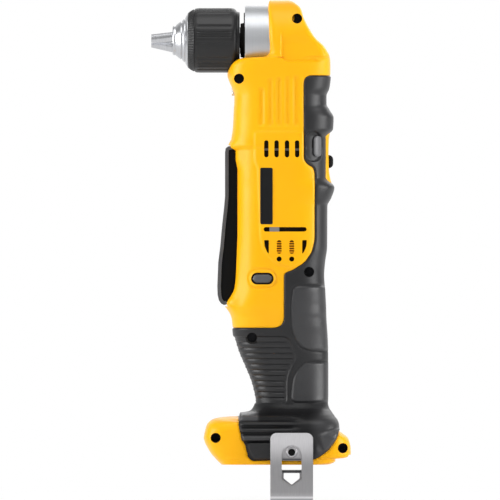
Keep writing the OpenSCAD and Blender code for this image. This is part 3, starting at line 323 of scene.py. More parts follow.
def clear_lens(name, colour, milk, rough, cloud_mm):
    """A clear moulded lens: light passes through it, with a faint cloud of the colour milk inside."""
    material, _, shader, _ = clouded(name, colour, milk, rough, cloud_mm)
    shader.inputs["Transmission Weight"].default_value = 0.7
    shader.inputs["IOR"].default_value = 1.49
    return material


def show_white(tree, shaded, output, kind, share=None, behind=None):
    """Shows white of strength 1 to camera rays, and to glossy and transmission rays where behind lets them.

    share then weakens all of it. Everything else sees what is shaded.
    """
    rays = add(tree, "ShaderNodeLightPath").outputs
    bounced = (rays["Is Glossy Ray"], rays["Is Transmission Ray"])
    seen = add(tree, "ShaderNodeMath", {"operation": "MAXIMUM"}, *bounced)
    if behind:
        seen = add(tree, "ShaderNodeMath", {"operation": "MULTIPLY"}, seen.outputs[0], behind)
    seen = add(tree, "ShaderNodeMath", {"operation": "MAXIMUM"}, seen.outputs[0], rays["Is Camera Ray"])
    if share:
        seen = add(tree, "ShaderNodeMath", {"operation": "MULTIPLY"}, seen.outputs[0], share)
    white = add(tree, kind, {"Color": (1, 1, 1, 1), "Strength": 1.0})
    mix = add(tree, "ShaderNodeMixShader", (), seen.outputs[0], shaded, white.outputs[0])
    tree.links.new(mix.outputs[0], output)


def bright_paper(name, colour, shade, rough, cloud_mm):
    """Matt paper with a faint cloud of the colour shade, which fades to white away from the origin."""
    material, tree, shader, place = clouded(name, colour, shade, rough, cloud_mm)
    away = add(tree, "ShaderNodeVectorMath", {"operation": "LENGTH"}, Vector=place).outputs["Value"]
    fade = add(tree, "ShaderNodeMapRange", {"From Min": 0.08, "From Max": 0.5, "To Min": 0.7}, Value=away)
    output = tree.nodes["Material Output"].inputs["Surface"]
    show_white(tree, shader.outputs[0], output, "ShaderNodeEmission", fade.outputs[0])
    return material


# Each finish: the function that makes it, its colour, as a colour setting or an sRGB hex value, and its look.
FINISHES = {
    # Satin, warm yellow with a barely visible spark-eroded grain, drawn at 0.7 mm so that it shows.
    "moulded_yellow_nylon": (moulded, "yellow", dict(
        rough=0.36, grain_mm=0.7, height_mm=0.006, cloud_mm=45, spread=0.03, specular=0.22)),
    # Charcoal elastomer with a fine pebble, drawn at 0.9 mm so that it shows: grey and chalky on the pads,
    # partly as painted light, with painted shade around them, and deep black on the boot, which carries
    # painted highlights.
    "overmoulded_black_elastomer": (moulded, "rubber", dict(
        rough=0.42, grain_mm=0.9, height_mm=0.03, cloud_mm=22, spread=0.12, tone_name="tone")),
    # Deep black nylon, nearly matt, with a leathery grain, drawn at 0.8 mm so that it shows.
    "textured_black_nylon": (moulded, "nylon", dict(
        rough=0.5, grain_mm=0.8, height_mm=0.03, cloud_mm=18, spread=0.12, specular=0.12)),
    # Grey nylon of the trigger's finger face and of the button, rubbed smoother and paler in slow clouds.
    "worn_grey_nylon": (moulded, "4E4E50", dict(
        rough=0.38, grain_mm=0.8, height_mm=0.03, cloud_mm=14, spread=0.12)),
    # Glass filled nylon of the sleeve: dark grey, with small clouds of fibre in tone and gloss.
    "glass_filled_black_nylon": (moulded, "chuck", dict(
        rough=0.4, grain_mm=0.6, height_mm=0.012, cloud_mm=9, spread=0.14, specular=0.4)),
    # Mid grey elastomer with a soft shine, on the bars of the thumb pocket, whose pale grey is partly their own
    # and partly a painted highlight, and on the rib behind the vents.
    "moulded_grey_elastomer": (moulded, "606062", dict(
        rough=0.4, grain_mm=0.9, height_mm=0.02, cloud_mm=10, spread=0.1)),
    # Smooth black film with an even shine.
    "gloss_black_film": (moulded, "08080A", dict(
        rough=0.3, grain_mm=3.0, height_mm=0.004, cloud_mm=30, spread=0.1, specular=0.3)),
    # Dull black nylon as painted shade: screw wells, sheets behind the vents, button collars, the socket
    # of the hook screw and, partly, the seal behind the chuck.
    "sooty_black_nylon": (moulded, "141312", dict(
        rough=0.7, grain_mm=0.8, height_mm=0.02, cloud_mm=8, spread=0.2, specular=0.2)),
    # Machined die casting: pale grey, with turned rings about X.
    "turned_aluminium": (worked_metal, "aluminium", dict(
        rough=0.45, line_mm=0.5, stretch=(1, 25, 25), depth_mm=0.002, spread=0.025)),
    # Ground and turned steel of nose and jaws, brighter and with tighter rings.
    "ground_steel": (worked_metal, "steel", dict(
        rough=0.3, line_mm=0.4, stretch=(1, 18, 18), depth_mm=0.003, spread=0.08)),
    # Rolled strip with grain down its length under zinc, with painted highlights near its top and along its
    # bend, and painted shade along the punched edges of its inner leg.
    "zinc_plated_strip": (worked_metal, "zinc", dict(
        rough=0.4, line_mm=0.35, stretch=(1, 1, 30), depth_mm=0.004, spread=0.05, tone_name="tone")),
    # Black oxide on turned screws: nearly black, with small grey rubs.
    "black_oxide_steel": (worked_metal, "2A2A2C", dict(
        rough=0.42, line_mm=0.5, stretch=(6, 6, 6), depth_mm=0.004, spread=0.2)),
    # Drawn steel: dull blue-grey, with faint level lines.
    "drawn_steel": (worked_metal, "9A9EA3", dict(
        rough=0.4, line_mm=0.5, stretch=(20, 20, 1), depth_mm=0.003, spread=0.08)),
    # Hobbed gear steel: oily mid grey.
    "hobbed_steel": (worked_metal, "85878B", dict(
        rough=0.34, line_mm=0.4, stretch=(8, 8, 1), depth_mm=0.003, spread=0.1)),
    # Sintered bronze: warm brown and dull, with fine pores.
    "sintered_bronze": (worked_metal, "A97B45", dict(
        rough=0.5, line_mm=0.6, stretch=(1, 1, 1), depth_mm=0.01, spread=0.15)),
    # Turned brass: bright yellow, with fine lines up its length.
    "turned_brass": (worked_metal, "CBA457", dict(
        rough=0.32, line_mm=0.4, stretch=(1, 1, 12), depth_mm=0.003, spread=0.08)),
    # Drawn copper bars: reddish and rubbed.
    "drawn_copper": (worked_metal, "B87048", dict(
        rough=0.36, line_mm=0.5, stretch=(1, 1, 10), depth_mm=0.004, spread=0.12)),
    # Stacked steel sheets: dark grey, with the level lines of their edges.
    "stacked_laminations": (worked_metal, "6E6A66", dict(
        rough=0.5, line_mm=0.6, stretch=(30, 30, 1), depth_mm=0.03, spread=0.25)),
    # Sintered ferrite: charcoal and chalky.
    "sintered_ferrite": (moulded, "3A3A3C", dict(
        rough=0.75, grain_mm=0.5, height_mm=0.02, cloud_mm=6, spread=0.2, specular=0.3)),
    # Pressed carbon: soft black with grey clouds.
    "pressed_carbon": (moulded, "262628", dict(
        rough=0.6, grain_mm=0.4, height_mm=0.02, cloud_mm=5, spread=0.25, specular=0.3)),
    # Red insulation with a soft shine.
    "extruded_red_insulation": (moulded, "A02420", dict(
        rough=0.45, grain_mm=1.2, height_mm=0.01, cloud_mm=10, spread=0.12)),
    # Clear acrylic: water-clear, with a faint milky cloud inside.
    "moulded_clear_lens": (clear_lens, "FFFFFF", dict(milk="DDE6EC", rough=0.12, cloud_mm=1.5)),
    # White paper under the tool: matt, with a trace of cloud and the tool's soft shadow.
    "pale_floor": (bright_paper, "FAFAFA", dict(shade="F6F6F6", rough=0.8, cloud_mm=250)),
}


def finish(name):
    """The material of one finish, made the first time it is asked for."""
    if name not in bpy.data.materials:
        make, colour, look = FINISHES[name]
        tint = bpy.context.scene.drill_finish
        make(name, getattr(tint, colour) if hasattr(tint, colour) else linear(colour), **look)
    return bpy.data.materials[name]


def smooth(value, low, high):
    """Smooth step: 0 below low, 1 above high, and 3t^2 - 2t^3 between."""
    t = np.clip((value - low) / (high - low), 0, 1)
    return t * t * (3 - 2 * t)


def bell(value, width):
    """Bell curve: 1 at 0, falling as e to the power of -(value / width)^2."""
    return np.exp(-(value / width) ** 2)


def monotone(z, zs, vs):
    """Cubic through the points (zs, vs) whose slopes are harmonic means, so that it never overshoots."""
    h = np.diff(zs)
    d = np.diff(vs) / h
    same = d[1:] * d[:-1] > 0
    w1, w2 = 2 * h[1:] + h[:-1], h[1:] + 2 * h[:-1]
    slope = np.zeros_like(vs)
    mean = (w1 + w2) / (w1 / np.where(same, d[:-1], 1) + w2 / np.where(same, d[1:], 1))
    slope[1:-1] = np.where(same, mean, 0)
    i = np.clip(np.searchsorted(zs, z) - 1, 0, len(h) - 1)
    t = np.clip((z - zs[i]) / h[i], 0, 1)
    return ((1 + 2 * t) * (1 - t) ** 2 * vs[i] + t * (1 - t) ** 2 * h[i] * slope[i]
            + t * t * (3 - 2 * t) * vs[i + 1] + t * t * (t - 1) * h[i] * slope[i + 1])


def section_sizes(z):
    """Front reach f, back reach b, half width h and squareness n of the body at heights z.

    They run through STATIONS, and above the spindle the half width is that of a circle about X.
    """
    f, b, h, n = (monotone(z, STATIONS[:, 0], STATIONS[:, k]) for k in (1, 2, 3, 4))
    round_head = np.sqrt(np.clip(HEAD_R ** 2 - (z - SPINDLE_Z) ** 2, 0, None))
    return f, b, np.where(z > SPINDLE_Z, round_head, h), n


def half_section(phi, f, b, h, n, side):
    """A superellipse, half of it for phi from 0 to pi.

    x = (b - f) / 2 + (f + b) / 2 cos(phi) k and y = side h sin(phi) k, with k = (|cos|^n + |sin|^n)^(-1/n).
    """
    c, s = np.cos(phi), np.sin(phi)
    k = (np.abs(c) ** n + np.abs(s) ** n) ** (-1 / n)
    return (b - f) / 2 + (f + b) / 2 * c * k, side * h * s * k


def side_y(x, z):
    """Half width of the body at places x and heights z, from the same superellipse."""
    f, b, h, n = section_sizes(np.asarray(z, float))
    u = np.clip(np.abs((x - (b - f) / 2) / ((f + b) / 2)), 0, 0.999)
    return h * (1 - u ** n) ** (1 / n)


def on_skin(outline, side, up):
    """An outline seen from the side, laid on one side of the body and lifted by up."""
    return np.insert(outline, Y, side * (side_y(*outline.T) + up), axis=1)


def inside(x, z, outline):
    """Distance of points to a closed outline, positive inside: nearest edge, signed by counting crossings."""
    a = np.asarray(outline, float)
    b = np.roll(a, -1, 0)
    ab = b - a
    px, pz = x[..., None] - a[:, 0], z[..., None] - a[:, 1]
    t = np.clip((px * ab[:, 0] + pz * ab[:, 1]) / (ab ** 2).sum(1), 0, 1)
    near = np.sqrt(((px - t * ab[:, 0]) ** 2 + (pz - t * ab[:, 1]) ** 2).min(-1))
    over = (a[:, 1] > z[..., None]) != (b[:, 1] > z[..., None])
    at = a[:, 0] + pz * ab[:, 0] / np.where(ab[:, 1] == 0, 1, ab[:, 1])
    odd = (over & (x[..., None] < at)).sum(-1) % 2
    return np.where(odd == 1, near, -near)


def rounded(outline, r, steps=6):
    """A closed outline whose corners are quadratic curves that start r before the corner and end r after."""
    p = np.asarray(outline, float)
    back, on = np.roll(p, 1, 0) - p, np.roll(p, -1, 0) - p
    lb, lo = np.linalg.norm(back, axis=1, keepdims=True), np.linalg.norm(on, axis=1, keepdims=True)
    a, b = p + back / lb * np.minimum(r, 0.45 * lb), p + on / lo * np.minimum(r, 0.45 * lo)
    t = np.linspace(0, 1, steps)[None, :, None]
    return ((1 - t) ** 2 * a[:, None] + 2 * t * (1 - t) * p[:, None] + t * t * b[:, None]).reshape(-1, 2)


def within(x, z, outline, r, low, high):
    """Smooth step, from low to high, of the distance into an outline with corners rounded by r."""
    return smooth(inside(x, z, rounded(outline, r)), low, high)


def to_segment(x, z, a, b):
    """Distance of points to the straight piece from a to b."""
    ab = np.subtract(b, a)
    t = np.clip(((x - a[0]) * ab[0] + (z - a[1]) * ab[1]) / (ab @ ab), 0, 1)
    return np.hypot(x - a[0] - t * ab[0], z - a[1] - t * ab[1])


def make_piece(name, points, faces, material, body=None, slot=None, replaced=(), crease=40):
    """Puts points, in millimetres, and faces into a mesh object, smooth but for edges past crease degrees.

    With a body, the piece rides on it; slot is not used. The CAD nodes that it stands for are in replaced.
    """
    mesh = bpy.data.meshes.new(name)
    mesh.from_pydata(np.asarray(points) * MM, [], faces)
    mesh.validate()
    piece = bpy.data.objects.new(name, mesh)
    bpy.context.scene.collection.objects.link(piece)
    piece.data.materials.append(finish(material))
    settle(piece, crease)
    if body:
        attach(piece, body)
    if replaced:
        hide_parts(*replaced)
    return piece


def settle(piece, crease=40):
    """Drops empty faces, turns all faces outwards and marks the edges that are sharper than crease degrees.

    A closed mesh whose volume comes out negative is turned round.
    """
    work = bmesh.new()
    work.from_mesh(piece.data)
    bmesh.ops.dissolve_degenerate(work, dist=2e-6, edges=work.edges)
    bmesh.ops.recalc_face_normals(work, faces=work.faces)
    closed = len(piece.data.loops) == 2 * len(piece.data.edges)
    if closed and work.calc_volume(signed=True) < 0:
        bmesh.ops.reverse_faces(work, faces=work.faces)
    work.to_mesh(piece.data)
    work.free()
    piece.data.shade_smooth()
    piece.data.set_sharp_from_angle(angle=radians(crease))


def bake_modifiers(piece, crease=40):
    """Replaces a piece's mesh by what its modifiers give, so that none is left live."""
    graph = bpy.context.evaluated_depsgraph_get()
    mesh = bpy.data.meshes.new_from_object(piece.evaluated_get(graph))
    piece.modifiers.clear()
    piece.data = mesh
    settle(piece, crease)


def joined(solids):
    """Several solids, each given as (points, faces), as one list of points and one of faces."""
    points, faces, base = [], [], 0
    for pts, fcs in solids:
        points.append(pts)
        faces += [[i + base for i in f] for f in fcs]
        base += len(pts)
    return np.concatenate(points), faces


def carve(piece, solids, crease=40):
    """Cuts closed solids, given as (points, faces), out of a piece, whose own finish the cut faces take."""
    cutter = make_piece("cutter", *joined(solids), "sooty_black_nylon")
    cut = piece.modifiers.new("cut", "BOOLEAN")
    cut.operation, cut.solver, cut.object = "DIFFERENCE", "MANIFOLD", cutter
    bake_modifiers(piece, crease)
    bpy.data.objects.remove(cutter)


def soften(piece, width, segments, angle):
    """Rounds the edges of a piece that are sharper than angle degrees, by width mm."""
    soft = piece.modifiers.new("edges", "BEVEL")
    soft.width, soft.segments = width * MM, segments
    soft.limit_method, soft.angle_limit = "ANGLE", radians(angle)
    bake_modifiers(piece)


def softened(node, name, material, body, width, segments, past):
    """A piece that is a copy of a CAD node, with its edges where x is over past rounded by width mm.

    Its loose triangles are merged and its flat faces joined first.
    """
    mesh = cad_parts[node].data.copy()
    work = bmesh.new()
    work.from_mesh(mesh)
    bmesh.ops.remove_doubles(work, verts=work.verts, dist=1e-6)
    bmesh.ops.dissolve_limit(work, angle_limit=radians(0.5), verts=work.verts, edges=work.edges)
    work.to_mesh(mesh)
    work.free()
    mesh.name = name
    mesh.materials.clear()
    piece = bpy.data.objects.new(name, mesh)
    bpy.context.scene.collection.objects.link(piece)
    places = np.empty(len(mesh.vertices) * 3)
    mesh.vertices.foreach_get("co", places)
    group = piece.vertex_groups.new(name="outer")
    group.add(np.flatnonzero(places[0::3] > past * MM).tolist(), 1.0, "REPLACE")
    soft = piece.modifiers.new("edges", "BEVEL")
    soft.width, soft.segments = width * MM, segments
    soft.limit_method, soft.vertex_group = "VGROUP", group.name
    bake_modifiers(piece)
    piece.vertex_groups.clear()
    piece.data.materials.append(finish(material))
    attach(piece, body)
    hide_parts(node)


def grid_faces(rows, columns, base=0, close_rows=False, close_columns=False):
    """Quads of a grid of rows by columns of points, as an array of four indices each."""
    r = np.arange(rows if close_rows else rows - 1)[:, None]
    c = np.arange(columns if close_columns else columns - 1)[None, :]
    near, far = r * columns, (r + 1) % rows * columns
    c2 = (c + 1) % columns
    return base + np.stack([near + c, near + c2, far + c2, far + c], -1).reshape(-1, 4)


def stacked_rings(rings):
    """Rings of equally many points, each joined to the next by quads, with a face on the first and last."""
    n = len(rings[0])
    last = (len(rings) - 1) * n
    sides = grid_faces(len(rings), n, close_columns=True).tolist()
    return np.concatenate(rings), sides + [list(range(n))[::-1], list(range(last, last + n))]


def looped_rings(rings):
    """Rings of equally many points, each joined to the next by quads, and the last to the first."""
    sides = grid_faces(len(rings), len(rings[0]), close_rows=True, close_columns=True)
    return np.concatenate(rings), sides.tolist()


def border(rows, columns, base):
    """Indices around the edge of a grid, in order."""
    i = base + np.arange(rows * columns).reshape(rows, columns)
    return np.concatenate([i[0, :-1], i[:-1, -1], i[-1, :0:-1], i[:0:-1, 0]])


def facing_sheets(front, back):
    """Two grids of as many points, closed to a plate by a rim of quads around their edges."""
    rows, columns = front.shape[:2]
    count = rows * columns
    a, b = border(rows, columns, 0), border(rows, columns, count)
    rim = np.stack([a, np.roll(a, -1), np.roll(b, -1), b], 1)
    faces = np.concatenate([grid_faces(rows, columns), grid_faces(rows, columns, count), rim])
    return np.concatenate([front.reshape(-1, 3), back.reshape(-1, 3)]), faces.tolist()


def prism(outline, low, high, axis):
    """A closed outline carried straight from low to high along one axis, with a face on both ends."""
    return stacked_rings([np.insert(np.asarray(outline, float), axis, v, axis=1) for v in (low, high)])


def ring_outline(x, z, r, count=40):
    """A circle as an outline."""
    t = np.linspace(0, 2 * np.pi, count, endpoint=False)
    return np.stack([x + r * np.cos(t), z + r * np.sin(t)], 1)


def oval_outline(a, b, r, count=12):
    """A straight piece from a to b, widened by r with round ends."""
    a, b = np.asarray(a, float), np.asarray(b, float)
    turn = np.arctan2(*(b - a)[::-1])
    t = np.linspace(-np.pi / 2, np.pi / 2, count) + turn
    half = np.stack([np.cos(t), np.sin(t)], 1) * r
    return np.concatenate([b + half, a - half])


def revolve_x(profile, count, relief=None):
    """A closed profile of (x, r) points turned about the spindle axis.

    A relief, which is a function of x, r and the angle, is added to r.
    """
    p = np.asarray(profile, float)
    turn = np.linspace(0, 2 * np.pi, count, endpoint=False)
    r = np.repeat(p[:, 1:], count, 1)
    if relief:
        r = r + relief(p[:, :1], r, turn[None])
    x = np.repeat(p[:, :1], count, 1)
    return looped_rings(np.stack([x, r * np.sin(turn), SPINDLE_Z + r * np.cos(turn)], -1))


def resample(points, step, closed=False):
    """A polyline with points about one step apart, keeping its corners."""
    p = np.asarray(points, float)
    if closed:
        p = np.concatenate([p, p[:1]])
    counts = np.maximum(2, np.ceil(np.linalg.norm(np.diff(p, axis=0), axis=1) / step).astype(int) + 1)
    parts = [np.linspace(a, b, n)[:-1] for a, b, n in zip(p, p[1:], counts)]
    return np.concatenate(parts if closed else parts + [p[-1:]])


def outward(points, side):
    """Unit normals of a grid of points on one half of the body, from the cross product of its two slopes."""
    normal = np.cross(np.gradient(points, axis=1), np.gradient(points, axis=0)) * side
    length = np.linalg.norm(normal, axis=-1, keepdims=True)
    normal = np.where(length > 1e-9, normal / np.maximum(length, 1e-9), [0.0, 0.0, 1.0])
    normal[:, [0, -1], 1] = 0
    return normal


def body_rows(low, high, step, count_by):
    """Heights of the rows of a skin: even, closer on the shelves of foot and head and towards the round top.

    Some gaps are then halved, so that the number of gaps can be divided by count_by.
    """
    even = np.arange(low, min(high, ROUND_FROM), step)
    close = np.concatenate([np.arange(*shelf) for shelf in SHELVES])
    for start, end, _ in SHELVES:
        even = even[(even < start - 0.1) | (even > end + 0.1)]
    z = np.concatenate([even, close[(close > low) & (close < high)], [low, high]])
    if high > ROUND_FROM:
        turn = np.linspace(np.arcsin((ROUND_FROM + 0.2 - SPINDLE_Z) / HEAD_R), np.pi / 2, 26)
        z = np.concatenate([z, SPINDLE_Z + HEAD_R * np.sin(turn)])
    z = np.unique(z)
    extra = -(len(z) - 1) % count_by
    gaps = np.linspace(1, len(z) - 2, extra).astype(int)
    return np.sort(np.concatenate([z, (z[gaps] + z[gaps + 1]) / 2]))


def skin(z, columns, side, relief):
    """The body's outer surface over angle and height, pushed out along its normal by relief(x, y, z)."""
    phi = np.linspace(0, np.pi, columns)[None]
    x, y = half_section(phi, *(v[:, None] for v in section_sizes(z)), side)
    points = np.stack([x, y, np.repeat(z[:, None], columns, 1)], -1)
    push = relief(points[..., 0], points[..., 1], points[..., 2])
    out = points + outward(points, side) * push[..., None]
    out[:, [0, -1], 1] = 0
    return out


def lining(z, columns, side, wall):
    """The inner surface of a shell: the least section within a wall above and below, drawn in by the wall."""
    near = [section_sizes(np.clip(z + shift, 0, TOP_Z))[:3] for shift in np.linspace(-wall, wall, 9)]
    f, b, h = np.min(near, 0) - wall
    phi = np.linspace(0, np.pi, columns)[None]
    n = section_sizes(z)[3]
    x, y = half_section(phi, f[:, None], b[:, None], np.maximum(h, 0.3)[:, None], n[:, None], side)
    return np.stack([x, y, np.repeat(z[:, None], columns, 1)], -1)


def shell(low, high, side, relief):
    """Outer skin and coarser lining, one lining point for four of the skin, closed by a rim around both."""
    s = bpy.context.scene.drill_housing
    wall, by = s.wall / MM, 4
    z = body_rows(low, high, s.row_step / MM, by)
    z_in = low + (z[::by] - low) * (min(high, TOP_Z - wall) - low) / (high - low)
    columns, columns_in = s.columns + 1, s.columns // by + 1
    outer = skin(z, columns, side, relief).reshape(-1, 3)
    inner = lining(z_in, columns_in, side, wall).reshape(-1, 3)
    # A face of the rim joins five points of the skin's edge, four gaps in all, to two of the lining's edge.
    edge_in = border(len(z_in), columns_in, len(outer))
    edge = border(len(z), columns, 0)
    edge = np.append(edge, edge[0])[by * np.arange(len(edge_in))[:, None] + np.arange(by + 1)]
    rim = np.concatenate([edge, np.roll(edge_in, -1)[:, None], edge_in[:, None]], 1)
    faces = (grid_faces(len(z), columns), grid_faces(len(z_in), columns_in, len(outer)), rim)
    return np.concatenate([outer, inner]), sum((part.tolist() for part in faces), [])


def seam(y):
    """Depth of the fine groove along the middle plane, where the two halves meet: a bell of 0.3 mm."""
    return 0.3 * bell(y, 0.45)


def foot_drop(x, z):
    """How much lower the foot's yellow top lies than the boot behind it: a ramp along X, from 0 to 1.8 mm."""
    return np.interp(x, [-42, -27], [0, 1.8]) * smooth(z, 26, 30) * (z < 50) * (1 - smooth(x, -26.6, -25))


def yellow_relief(x, y, z):
    """Relief of the yellow shells: a sum of smooth steps and bells, in mm, along the skin's normal."""
    s = bpy.context.scene.drill_housing
    # Seat of the rubber, and the side panel.
    d = -s.lip_drop / MM * within(x, z, RUBBER_EDGE, 2, -0.9, 0.7)
    d += s.panel_rise / MM * within(x, z, SIDE_PANEL, 3, -0.6, 1.6)
    # Flutes under the head, 5.4 mm apart, that end above in a slanting line.
    wave = (1 - np.cos(2 * np.pi * (x + 6.3) / 5.4)) / 2
    top = np.interp(x, [-10, -8.5, 12], [236.5, 242.4, 244.2])
    fade = smooth(z, 213.5, 216.5) * (1 - smooth(z, top, top + 3))
    d -= s.flute_depth / MM * (1 - wave) * fade * smooth(x, -14.6, -13.4) * (1 - smooth(x, 11.6, 12.8))
    # Step on the side of the head, which fades out upwards and to the back.
    step = within(x, z, [(0.4, 330), (60, 330), (60, 255.4), (0.4, 255.4)], 4, -0.3, 0.5)
    d -= 1.4 * step * (1 - smooth(z, 266, 277)) * (1 - smooth(x, 20, 29))
    d -= foot_drop(x, z)
    # Seat of the thumb pocket, and the button's raised field with a groove in it.
    d -= 0.7 * smooth(5.7 - to_segment(x, z, *POCKET), 0, 0.9)
    dish = to_segment(x, z, (BUTTON_AT[0] - 2.9, BUTTON_AT[1]), (BUTTON_AT[0] + 2.9, BUTTON_AT[1]))
    d += 0.3 * smooth(7.4 - dish, 0, 1) - bell(dish - 5.9, 0.8)
    # Guard: the edges beside the trigger stand out at the front, by an amount for each height.
    guard = np.interp(z, [96, 99, 101, 103, 106, 109, 114, 122, 135, 152, 186, 193, 202, 206],
                      [0, 0.9, 2.4, 2.6, 2, 1.6, 1.4, 1.1, 0.6, 0, 0, 1.4, 1.4, 0])
    d += guard * (1 - smooth(np.abs(y), 15, 21.5)) * (x < 0)
    return d - seam(y)


def boot_ridge(x, z):
    """The boot's four ridges, 0 to 1: between two steps a quick rise, a flat crest and a slow fall."""
    step = np.interp(z, BOOT_STEPS, range(len(BOOT_STEPS))) % 1
    along = smooth(x, -26, -23) * (1 - smooth(x, 4, 16))
    return along * (1 - smooth(z, 30, 32)) * (smooth(step, 0, 0.2) - smooth(step, 0.45, 0.95))


def from_boss(x, z):
    """Distance to the middle of the boot's round boss."""
    return np.hypot(x - BOOT_BOSS[0], z - BOOT_BOSS[1])


def rubber_relief(x, y, z):
    """Relief of the rubber: a sum of smooth steps and bells, in mm, along the skin's normal."""
    s = bpy.context.scene.drill_grip
    # Outside its edge the rubber lies 1.5 mm under the skin, where the shell hides it.
    d = -1.5 + (1.5 + s.proud / MM) * within(x, z, RUBBER_EDGE, 2, -1.1, 0.9)
    off_seam = 0.12 + 0.88 * smooth(np.abs(y), 3, 12)
    # Smooth pads, each with a groove around it.
    for pad in (UPPER_PAD, LOWER_PAD):
        near = inside(x, z, rounded(pad, 4))
        d += (s.pad_rise / MM * smooth(near, 0, 1.4) - 0.55 * bell(near + 0.5, 0.6)) * off_seam
    # Ridged panel: sunk, with a groove for each ridge and finer ones near the seam.
    ridged = inside(x, z, rounded(RIDGED_PANEL, 3))
    d -= 0.85 * smooth(ridged, -0.4, 0.5)
    pitch = s.ridge_pitch / MM
    groove = np.abs((z - 40.2) % pitch - pitch / 2)
    cut = s.ridge_depth / MM * (1 - smooth(groove, 0.15, 0.8)) * (0.3 + 0.7 * off_seam)
    fine = np.abs((z - 40.2) % (pitch / 2) - pitch / 4)
    cut += 0.3 * (1 - smooth(fine, 0.1, 0.5)) * (1 - smooth(np.abs(y), 7, 10))
    d -= cut * smooth(ridged, 0.6, 2)
    # Boot: ridges, a block with a groove around it, a facet and a boss.
    d += 1.7 * boot_ridge(x, z)
    block = inside(x, z, rounded(BOOT_BLOCK, 2))
    d += 0.9 * smooth(block, -0.2, 0.7) - 0.6 * bell(block + 0.9, 0.6)
    d += 1.2 * within(x, z, BOOT_FACET, 3, -0.2, 1.6)
    d += 0.9 * bell(from_boss(x, z), np.sqrt(5.5))
    # Thumb pocket at the back.
    d -= 1.5 * smooth(5.3 - to_segment(x, z, *POCKET), 0, 0.9)
    d -= foot_drop(x, z)
    return d - seam(y)


def rubber_tone_and_painted_light(x, z):
    """How pale the rubber looks, 0 to 1, as a sum of smooth steps and bells.

    It is pale on the pads, partly for their moulded texture and partly as painted light, darker around them,
    which is painted shade, and darkest on the boot.
    """
    high = 0.36 - 0.08 * smooth(129 - z, 0, 8) + 0.1 * within(x, z, RIDGED_PANEL, 3, -0.4, 1)
    for pad in (UPPER_PAD, LOWER_PAD):
        high += 0.32 * within(x, z, pad, 4, -0.4, 1)
    # Boot: the block is paler, and painted highlights lie on the facet, the boss, the back of the foot and the
    # front of the shelf.
    low = 0.1 + 0.26 * within(x, z, BOOT_BLOCK, 2, -0.4, 1) + 0.4 * within(x, z, BOOT_FACET, 3, -0.2, 1.4)
    low += 0.4 * smooth(x, 17, 26) * (1 - 0.6 * smooth(z, 26, 31)) + 0.6 * bell(from_boss(x, z), 2)
    # Painted highlights on the boot's ridges, stronger below 19 mm.
    low += boot_ridge(x, z) * (0.14 + 0.4 * smooth(19 - z, 0, 2))
    # Shelf: a painted highlight on its front, and painted shade on the rest of it.
    shelf = smooth(z, 27.2, 28.6) * (1 - smooth(z, 32.6, 34.2))
    low += shelf * (1.1 * (1 - smooth(x, -15.4, -12.8)) - 0.1)
    boot = smooth(42 - z, 0, 6)
    return high * (1 - boot) + boot * low


def hook_painted_light(x, z):
    """How bright the hook's zinc looks, 0 to 1, as a sum of a smooth step and bells.

    It is plain on the leg, with a painted highlight towards the top and along the bend, and painted shade
    along the two punched edges of the inner leg that show through the window.
    """
    punched_edge_shade = (np.abs(x - HOOK_X) < 6.1) * (bell(z - 3.4, 0.8) + bell(z + 4.2, 0.8))
    return 0.4 + 0.5 * smooth(z, -2, 16) + 0.5 * bell(z + 20.6, 0.6) - 0.5 * punched_edge_shade


def write_tone(piece, tone_at):
    """Stores tone_at(x, z), in mm, on the piece's vertices as the attribute that its finish reads."""
    place = np.empty(len(piece.data.vertices) * 3)
    piece.data.vertices.foreach_get("co", place)
    tone = piece.data.attributes.new("tone", "FLOAT", "POINT")
    tone.data.foreach_set("value", tone_at(place[0::3] / MM, place[2::3] / MM))


def screw_holes(screws):
    """Round holes in the left side, from outside it down to 4 mm short of the seats of the screws."""
    return [prism(ring_outline(x, z, RECESS_R), -80, 4 - d, Y) for x, z, d in screws]


def shell_cuts(side):
    """Solids cut out of an upper shell: a turned bore, and outlines carried straight through the wall."""
    # Seat of the gear case and chuck, and the trigger's channel.
    bore = [(-100, 0.01), (-100, 21.3), (-21.8, 21.3), (-21.8, 22.12), (9, 22.12), (9, 0.01)]
    cuts = [revolve_x(bore, 96)]
    cuts.append(prism([(-80, 100), (-21, 100), (-21, 202.4), (-80, 202.4)], -13.6, 13.6, Y))
    # Vents: four upright slots, one long slot, two lower slots with a round hole under each, two crescents.
    cuts += [prism(oval_outline((x, 196), (x, 204), 1.4), *THROUGH, Y) for x in TOP_VENTS_X]
    cuts.append(prism(oval_outline((-9, 149), (15.4, 149), 1.4), *THROUGH, Y))
    cuts += [prism(oval_outline((x, 135), (x, 140.6), 1.5), *THROUGH, Y) for x in LOW_VENTS_X]
    cuts += [prism(ring_outline(x, 130.2, 1.6, 24), *THROUGH, Y) for x in LOW_VENTS_X]
    crescent = rounded([(-1.5, 142.2), (1.5, 142.2), (1.5, 133.4), (0.4, 134.6), (-1.1, 138)], 0.7)
    cuts.append(prism(crescent + [-8.6, 0], *THROUGH, Y))
    cuts.append(prism(crescent[::-1] * [-1, 1] + [15.5, 0], *THROUGH, Y))
    # Openings of the button, the work light, the selector and, on the left, the screws.
    cuts.append(prism(oval_outline(*BUTTON_SLOT, 3.75), *THROUGH, Y))
    cuts.append(prism(ring_outline(0, 236.5, 2.8, 32), -60, -24, X))
    cuts.append(prism(SELECTOR_WINDOW, 24, 60, X))
    if side < 0:
        cuts += screw_holes(SCREWS[:4])
    return cuts


